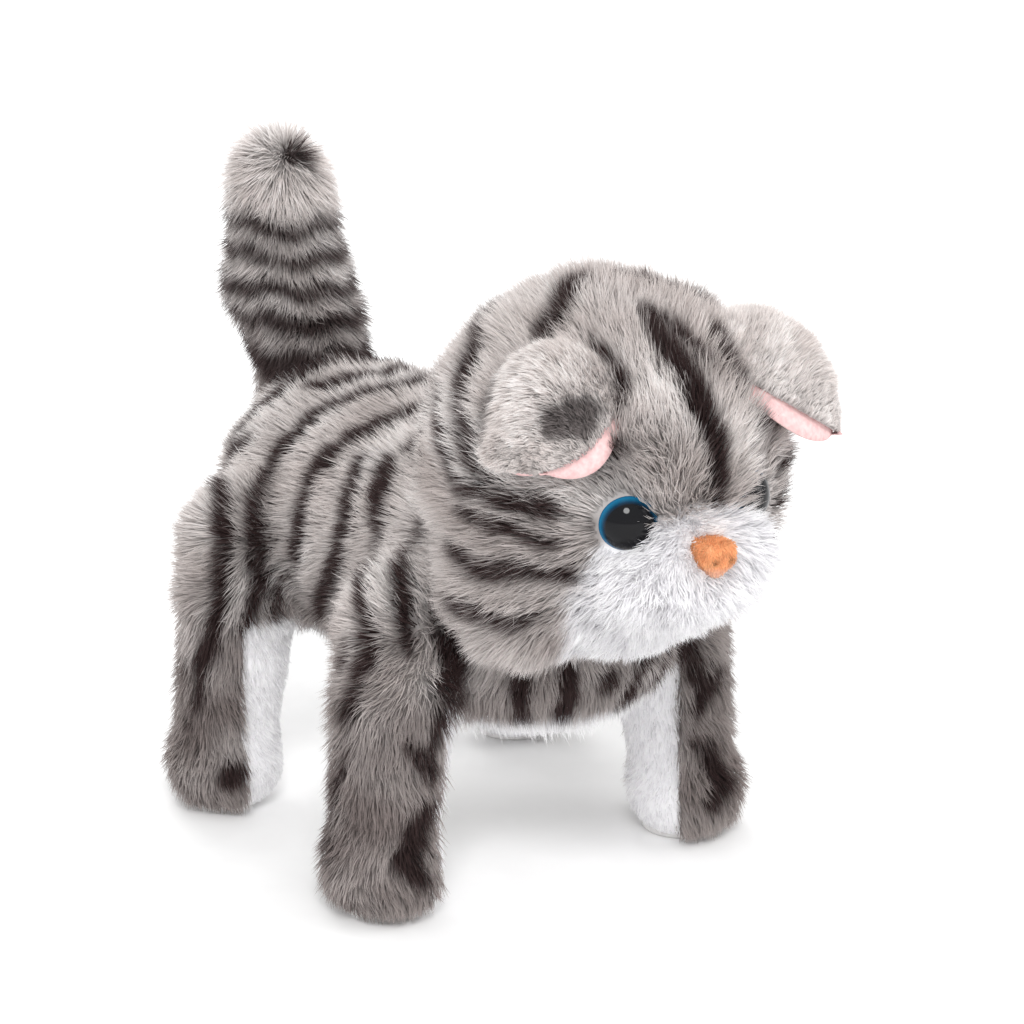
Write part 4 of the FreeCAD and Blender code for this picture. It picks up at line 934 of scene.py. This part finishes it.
def build_head():
    rng = np.random.default_rng(41)
    low, high = HEAD - 46, HEAD + 46
    low[1] -= 8         # room for the snout
    head_cloth = cloth_piece("head_cloth", face, low, high, head_colour_and_shade, "head_fur")
    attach(head_cloth, "head")

    points, faces = net(face, low, high, 2.5)
    root = scattered(points, faces, HEAD_STRANDS, rng)
    root, normal = settle(face, root, rounds=2)
    from_eye, eye_gap, open_side = about_eyes(root)
    nose_gap = np.linalg.norm((root - NOSE) / (1.1, 1, 0.9), axis=1)
    under_eye, nose_r, buried = 1.2, 4.2, 2.5
    keep = eye_gap > EYE_R - under_eye * (1 - open_side)
    keep &= (nose_gap > nose_r) & (trunk(root) > -buried)
    root, normal, from_eye = root[keep], normal[keep], from_eye[keep]
    eye_gap, nose_gap, open_side = eye_gap[keep], nose_gap[keep], open_side[keep]
    sweep = unit(root - (NOSE + (0, 14, 2)))
    sweep += unit(from_eye) * (1.3 * open_side * (1 - smooth(8, 15, eye_gap)))[:, None]
    white = muzzle_share(root + normal * 3) > 0.5
    length = np.where(white, 8.4, 8.6) * rng.uniform(0.8, 1.12, len(root))
    near_eye = 1 - smooth(7, 15, eye_gap)
    length *= 1 - (0.1 + 0.42 * open_side) * near_eye
    length *= 1 - 0.3 * smooth(0.2, 0.9, -normal[:, 2]) * white
    length *= 1 + 0.12 * waves(root, 11, 32)
    length *= 0.45 + 0.55 * smooth(4, 13, nose_gap)
    for name, which, slot, extra in (
        ("head_pile", ~white, "fur_grey", {}),
        ("muzzle_pile", white, "fur_white",
         {"lift": 1.6, "clump": 3.0, "pull": 0.65, "stray": 0.26,
          "painted_shade_and_tone": (0.8, 0.95, 1.0)}),
    ):
        mesh = pile(name, root[which], normal[which], sweep[which],
                    length[which], head_colour_and_shade, rng, **extra)
        part = piece_from(name, mesh, fur)
        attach(part, "head")
        if name == "muzzle_pile":
            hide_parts("muzzle")


# ---------------------------------------- face

def turned(points, axis, place):
    """Points about Z, turned so that Z points along an axis, and placed."""
    turn = np.array(Vector(axis).to_track_quat("Z", "Y").to_matrix())
    return points @ turn.T + place


def build_eye(side, iris):
    """A glossy dome set in the cloth: a wide pupil in a blue iris."""
    steps = 48
    sunk, back = 2.0, 3.2       # how deep the dome's edge and its back are
    rim = 0.5
    cap = EYE_RISE + sunk
    bow = (EYE_R ** 2 + cap ** 2) / (2 * cap)
    reach = math.asin(min(EYE_R / bow, 1))
    angles = np.linspace(0, reach, 20)[1:]
    rings = [(bow * math.sin(a), bow * math.cos(a) - bow + EYE_RISE) for a in angles]
    rings += [(EYE_R, -sunk - rim), (EYE_R - 1.2, -back)]
    turn = np.arange(steps) * 2 * math.pi / steps
    points = [np.array([[0, 0, EYE_RISE]])]
    for radius, height in rings:
        points.append(np.stack(
            [radius * np.cos(turn), radius * np.sin(turn), np.full(steps, height)],
            axis=1,
        ))
    points.append(np.array([[0, 0, -back]]))
    points = np.concatenate(points)
    here = np.arange(steps)
    after = (here + 1) % steps
    top = np.stack([np.zeros(steps, int), 1 + here, 1 + after], axis=1)
    quads = []
    for k in range(len(rings) - 1):
        a, b = 1 + k * steps, 1 + (k + 1) * steps
        quads.append(np.stack([a + here, b + here, b + after, a + after], axis=1))
    last = 1 + (len(rings) - 1) * steps
    end = len(points) - 1
    bottom = np.stack([np.full(steps, end), last + after, last + here], axis=1)
    spread = np.hypot(points[:, 0], points[:, 1])
    sign = 1 if side == "left" else -1
    axis = EYE_AXIS * (sign, 1, 1)
    points = turned(points, axis, HEAD + axis * (HEAD_R + 0.2))
    mesh = mesh_of(f"eye_dome_{side}", points, [top, np.concatenate(quads), bottom])
    ring = mesh.attributes.new("ring", "FLOAT", "POINT")
    ring.data.foreach_set("value", spread / EYE_R)
    piece = piece_from(f"eye_dome_{side}", mesh, iris)
    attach(piece, "head")
    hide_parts(f"eye_{side}")


def eye_material():
    """Black pupil, blue iris with fine rays and a dark rim, under a gloss."""
    material = bpy.data.materials.new("iris")
    material.use_nodes = True
    nodes, links = material.node_tree.nodes, material.node_tree.links
    surface = nodes["Principled BSDF"]
    surface.inputs["Roughness"].default_value = 0.06
    surface.inputs["Specular IOR Level"].default_value = 0.22
    ring = nodes.new("ShaderNodeAttribute")
    ring.attribute_name = "ring"
    grain = nodes.new("ShaderNodeTexNoise")
    grain.inputs["Scale"].default_value = 700
    stir = nodes.new("ShaderNodeMath")
    stir.operation = "MULTIPLY_ADD"
    stir.inputs[1].default_value = 0.07
    links.new(grain.outputs["Fac"], stir.inputs[0])
    links.new(ring.outputs["Fac"], stir.inputs[2])
    ramp = nodes.new("ShaderNodeValToRGB")
    stops = ramp.color_ramp.elements
    stops[0].position, stops[0].color = 0.0, (*srgb(14, 13, 16), 1)
    stops[1].position, stops[1].color = 1.0, (*srgb(6, 22, 34), 1)
    for place, colour in ((0.79, (12, 13, 17)), (0.85, (8, 48, 72)),
                          (0.94, (28, 110, 150)), (1.0, (10, 50, 74))):
        stop = stops.new(place)
        stop.color = (*srgb(*colour), 1)
    links.new(stir.outputs["Value"], ramp.inputs["Fac"])
    links.new(ramp.outputs["Color"], surface.inputs["Base Color"])
    return material


def nose_shape(p):
    """A small rounded wedge with two dents for nostrils."""
    pad = block(p, NOSE + (-2.5, -2.0, -0.9), NOSE + (2.5, 4, 1.2)) - 1.4
    lower = ball(p, NOSE + (0, 0.4, -2.4), (2.5, 3.1, 2.8))
    dent = ball(mirrored(p), NOSE + (2.1, -3.9, -1.0), (0.9, 1.3, 0.6))
    return np.maximum(melt(pad, lower, 2.5), -dent)


def nose_colour_and_shade(p):
    dent = np.linalg.norm(mirrored(p) - (NOSE + (2.1, -3.6, -1.0)), axis=1)
    total = mixed(ORANGE, ORANGE * 1.12, np.clip(0.5 + 0.5 * waves(p, 5, 61), 0, 1))
    total = mixed(total, srgb(255, 214, 190), 1 - smooth(-5, -2.0, p[:, 2] - NOSE[2]))
    # Painted shade: the nostril dents are darkened, as shade falls in them.
    return mixed(total, ORANGE * 0.5, 0.8 * (1 - smooth(0.5, 1.5, dent)))


def build_nose():
    rng = np.random.default_rng(43)
    low, high = NOSE - 8, NOSE + 8
    points, faces = net(nose_shape, low, high, 0.5)
    points, _ = settle(nose_shape, points, most=0.2)
    # The pad is painted a little darker: painted shade under its nap.
    mesh = mesh_of("nose_pad", points, [faces], nose_colour_and_shade(points) * 0.9)
    pad = piece_from("nose_pad", mesh, cloth)
    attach(pad, "head")
    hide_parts("nose")
    root = scattered(points, faces, NOSE_STRANDS, rng)
    root, normal = settle(nose_shape, root, rounds=1, most=0.2)
    keep = face(root) > -1
    root, normal = root[keep], normal[keep]
    sweep = np.array([0, -0.2, -1.0]) + np.zeros_like(root)
    length = 1.0 * rng.uniform(0.7, 1.2, len(root))
    mesh = pile("nose_nap", root, normal, sweep, length, nose_colour_and_shade, rng,
                width=0.16, clump=0.9, painted_shade_and_tone=(0.8, 0.95, 1.05))
    nap = piece_from("nose_nap", mesh, fur)
    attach(nap, "head")


# ---------------------------------------- ears

def bow(line, s):
    """Points of a curve that leaves its first point towards its second."""
    a, b, c = (np.array(point, float) for point in line)
    s = s[:, None]
    return (1 - s) ** 2 * a + 2 * s * (1 - s) * b + s ** 2 * c


def ear_sheet(s, t):
    """Points of the left ear: s from its root to its tip, t from front to back.

    It leaves the head, folds over and hangs outwards, cupped like a shell.
    """
    front, ridge, back = (bow(line, s) for line in EAR_LINES)
    t = t[:, None]
    return ridge + (back - front) / 2 * t + ((front + back) / 2 - ridge) * t ** 2


def ear_normal(s, t):
    step = 0.02
    along = ear_sheet(s + step, t) - ear_sheet(s - step, t)
    across = ear_sheet(s, t + step) - ear_sheet(s, t - step)
    return unit(np.cross(along, across))


def hang(points, s, side):
    """Points of an ear on its own side; the left one hangs further out."""
    s = s[:, None]
    if side == "left":
        return points + s ** 2 * (5.0, 0, -4.0)
    return (points - s ** 2 * (1.0, 0, -0.5) - (2.0, 0, 0)) * (-1, 1, 1)


def ear_leaf(side, top, under, front):
    """A closed leaf between two heights over the ear's sheet.

    front says how far it goes over the sheet's front edge, which is at -1.
    """
    rows, columns = 26, 22
    thick_edge = 0.25           # the share of its thickness left at its edge
    grid_s, grid_t = np.meshgrid(
        np.linspace(0, 1, rows) ** 0.85, np.linspace(front, 1.0, columns),
        indexing="ij",
    )
    s, t = grid_s.ravel(), grid_t.ravel()
    near_edge = np.maximum(np.abs(t) / abs(front), s) ** 6
    thin = np.maximum(np.sqrt(np.clip(1 - near_edge, 0, 1)), thick_edge)[:, None]
    normal = ear_normal(s, t)
    flat = ear_sheet(s, t)
    middle_height, half = (top + under) / 2, (top - under) / 2
    upper = hang(flat + normal * (middle_height + half * thin), s, side)
    lower = hang(flat + normal * (middle_height - half * thin), s, side)
    number = np.arange(rows * columns).reshape(rows, columns)
    quads = np.stack([number[:-1, :-1], number[1:, :-1], number[1:, 1:],
                      number[:-1, 1:]], axis=-1).reshape(-1, 4)
    loop = np.concatenate([number[0, :-1], number[:-1, -1], number[-1, :0:-1],
                           number[:0:-1, 0]])
    ahead = np.roll(loop, -1)
    shift = rows * columns
    wall = np.stack([loop, ahead, ahead + shift, loop + shift], axis=1)
    faces = np.concatenate([quads, quads[:, ::-1] + shift, wall])
    if side == "right":
        faces = faces[:, ::-1]
    return np.concatenate([upper, lower]), faces


def ear_dye(p):
    """Pale, with a dark patch in front of the fold and a dark hem behind."""
    q = mirrored(p)
    total = mixed(PALE, GREY, np.clip(0.2 + 0.3 * waves(p, 15, 51), 0, 1))
    patch = ear_sheet(np.array([0.5]), np.array([-0.72]))[0] + (0, -2, 2)
    gap = np.linalg.norm((q - patch) / (1.6, 0.8, 1), axis=1)
    dark = 0.75 * (1 - smooth(4.0, 6.5, gap + waves(p, 6, 52))) * (p[:, 0] < 0)
    hem = ear_sheet(np.linspace(0.45, 0.9, 6), np.full(6, 0.85)) + (2.5, 2.5, 0)
    total = mixed(total, DARK, np.maximum(dark, 0.6 * stripe(q, 2.4, hem)))
    return total


def build_ear(side):
    rng = np.random.default_rng(44)
    points, faces = ear_leaf(side, 1.4, -0.5, -0.97)
    # The ear's cloth is painted darker: painted shade under its pile.
    mesh = mesh_of(f"ear_cloth_{side}", points, [faces], ear_dye(points) * 0.6)
    back = piece_from(f"ear_cloth_{side}", mesh, cloth)
    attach(back, "head")
    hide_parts(f"ear_{side}")
    points, faces = ear_leaf(side, -0.6, -2.0, -1.13)
    centre = points.mean(axis=0)
    points = centre + (points - centre) * 1.08      # its rim shows round the ear
    mesh = mesh_of(f"ear_felt_{side}", points, [faces])
    lining = piece_from(f"ear_felt_{side}", mesh, felt)
    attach(lining, "head")
    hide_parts(f"ear_lining_{side}")

    s, t = rng.random(EAR_STRANDS), rng.uniform(-1, 1, EAR_STRANDS)
    root = ear_sheet(s, t)
    keep = face(root) > -0.5
    s, t, root = s[keep], t[keep], root[keep]
    normal = ear_normal(s, t)
    ahead = unit(ear_sheet(s + 0.05, t) - ear_sheet(s - 0.05, t))
    across = unit(ear_sheet(s, t + 0.05) - ear_sheet(s, t - 0.05))
    sweep = ahead * (0.65 + 0.2 * t)[:, None] + across * (0.6 - 0.35 * t)[:, None]
    length = 5.6 * rng.uniform(0.75, 1.15, len(root))
    front_edge = np.maximum(-t, (s - 0.3) * 1.1 - 0.5 * t - 0.2)
    length *= 1 - 0.6 * smooth(0.35, 0.95, front_edge)
    length *= 1 - 0.65 * smooth(0.7, 1.0, s) * (1 - smooth(-0.3, 0.6, t))
    root = root + normal * 1.1
    tip = hang(root + normal, s, side)
    root_here = hang(root, s, side)
    normal = unit(tip - root_here)
    if side == "right":
        sweep = sweep * (-1, 1, 1)
    mesh = pile(f"ear_pile_{side}", root_here, normal, sweep, length, ear_dye, rng)
    coat_of_ear = piece_from(f"ear_pile_{side}", mesh, fur)
    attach(coat_of_ear, "head")


def build_tail():
    rng = np.random.default_rng(42)
    low, high = TAIL_LOW - 4, TAIL_HIGH + 4
    tube = cloth_piece("tail_cloth", tail_core, low, high, tail_dye, "tail_fur")
    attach(tube, "tail")
    points, faces = net(tail_core, low, high, 2.0)
    root = scattered(points, faces, TAIL_STRANDS, rng)
    root, normal = settle(tail_core, root, rounds=2)
    keep = coat(root) > -0.5
    root, normal = root[keep], normal[keep]
    crown = root - np.array([0, TAIL_Y - 3, TAIL_Z + 10])
    sweep = unit(crown) * 0.6 + np.array([0, 0, -0.5])
    length = 8.8 * rng.uniform(0.8, 1.12, len(root))
    length *= 1 + 0.15 * waves(root, 10, 33)
    length *= 0.7 + 0.3 * smooth(0, 8, coat(root))
    mesh = pile("tail_pile", root, normal, sweep, length, tail_dye, rng,
                lift=1.2, lie=0.7, stray=0.26)
    part = piece_from("tail_pile", mesh, fur)
    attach(part, "tail")


# ---------------------------------------- stage

def build_stage():
    scene = bpy.context.scene
    mesh = bpy.data.meshes.new("floor")
    far = 6
    mesh.from_pydata(
        [(-far, -far, 0), (far, -far, 0), (far, far, 0), (-far, far, 0)], [],
        [(0, 1, 2, 3)]
    )
    floor = bpy.data.objects.new("floor", mesh)
    mesh.materials.append(
        moulded("studio_paper", srgb(244, 244, 244), srgb(250, 250, 250), 0.9,
                scale=40, bump=0.02)
    )
    scene.collection.objects.link(floor)

    world = bpy.data.worlds.new("studio")
    world.use_nodes = True
    sky = world.node_tree.nodes["Background"]
    sky.inputs["Color"].default_value = (1, 1, 1, 1)
    sky.inputs["Strength"].default_value = 0.9
    scene.world = world
    for name, place, power, size in (
        ("key", (-0.7, -1.1, 1.3), 16, 0.6),
        ("fill", (1.2, -0.8, 0.9), 8, 1.2),
        ("back", (0.2, 1.3, 1.2), 8, 1.0),
    ):
        light = bpy.data.lights.new(name, "AREA")
        light.energy = power
        light.shape = "DISK"
        light.size = size
        lamp = bpy.data.objects.new(name, light)
        lamp.location = place
        aim = Vector((0, 0, 0.08)) - Vector(place)
        lamp.rotation_euler = aim.to_track_quat("-Z", "Y").to_euler()
        scene.collection.objects.link(lamp)


def build_camera():
    """A long lens from the front right, a little above."""
    azimuth, elevation = math.radians(-33), math.radians(18.5)
    distance = 0.9
    target = Vector((0.018, 0.011, 0.0773))
    away = Vector((
        math.sin(azimuth) * math.cos(elevation),
        -math.cos(azimuth) * math.cos(elevation),
        math.sin(elevation),
    ))
    lens = bpy.data.cameras.new("camera")
    lens.sensor_width = 36
    lens.angle = math.radians(16.2)
    camera = bpy.data.objects.new("camera", lens)
    camera.location = target + away * distance
    camera.rotation_euler = (-away).to_track_quat("-Z", "Y").to_euler()
    bpy.context.scene.collection.objects.link(camera)
    bpy.context.scene.camera = camera
    bpy.context.scene.view_settings.view_transform = "Standard"


build_camera()
build_stage()
dress_parts()
eye_gloss = eye_material()
build_body()
build_head()
build_tail()
build_nose()
for which_side in ("left", "right"):
    build_eye(which_side, eye_gloss)
    build_ear(which_side)
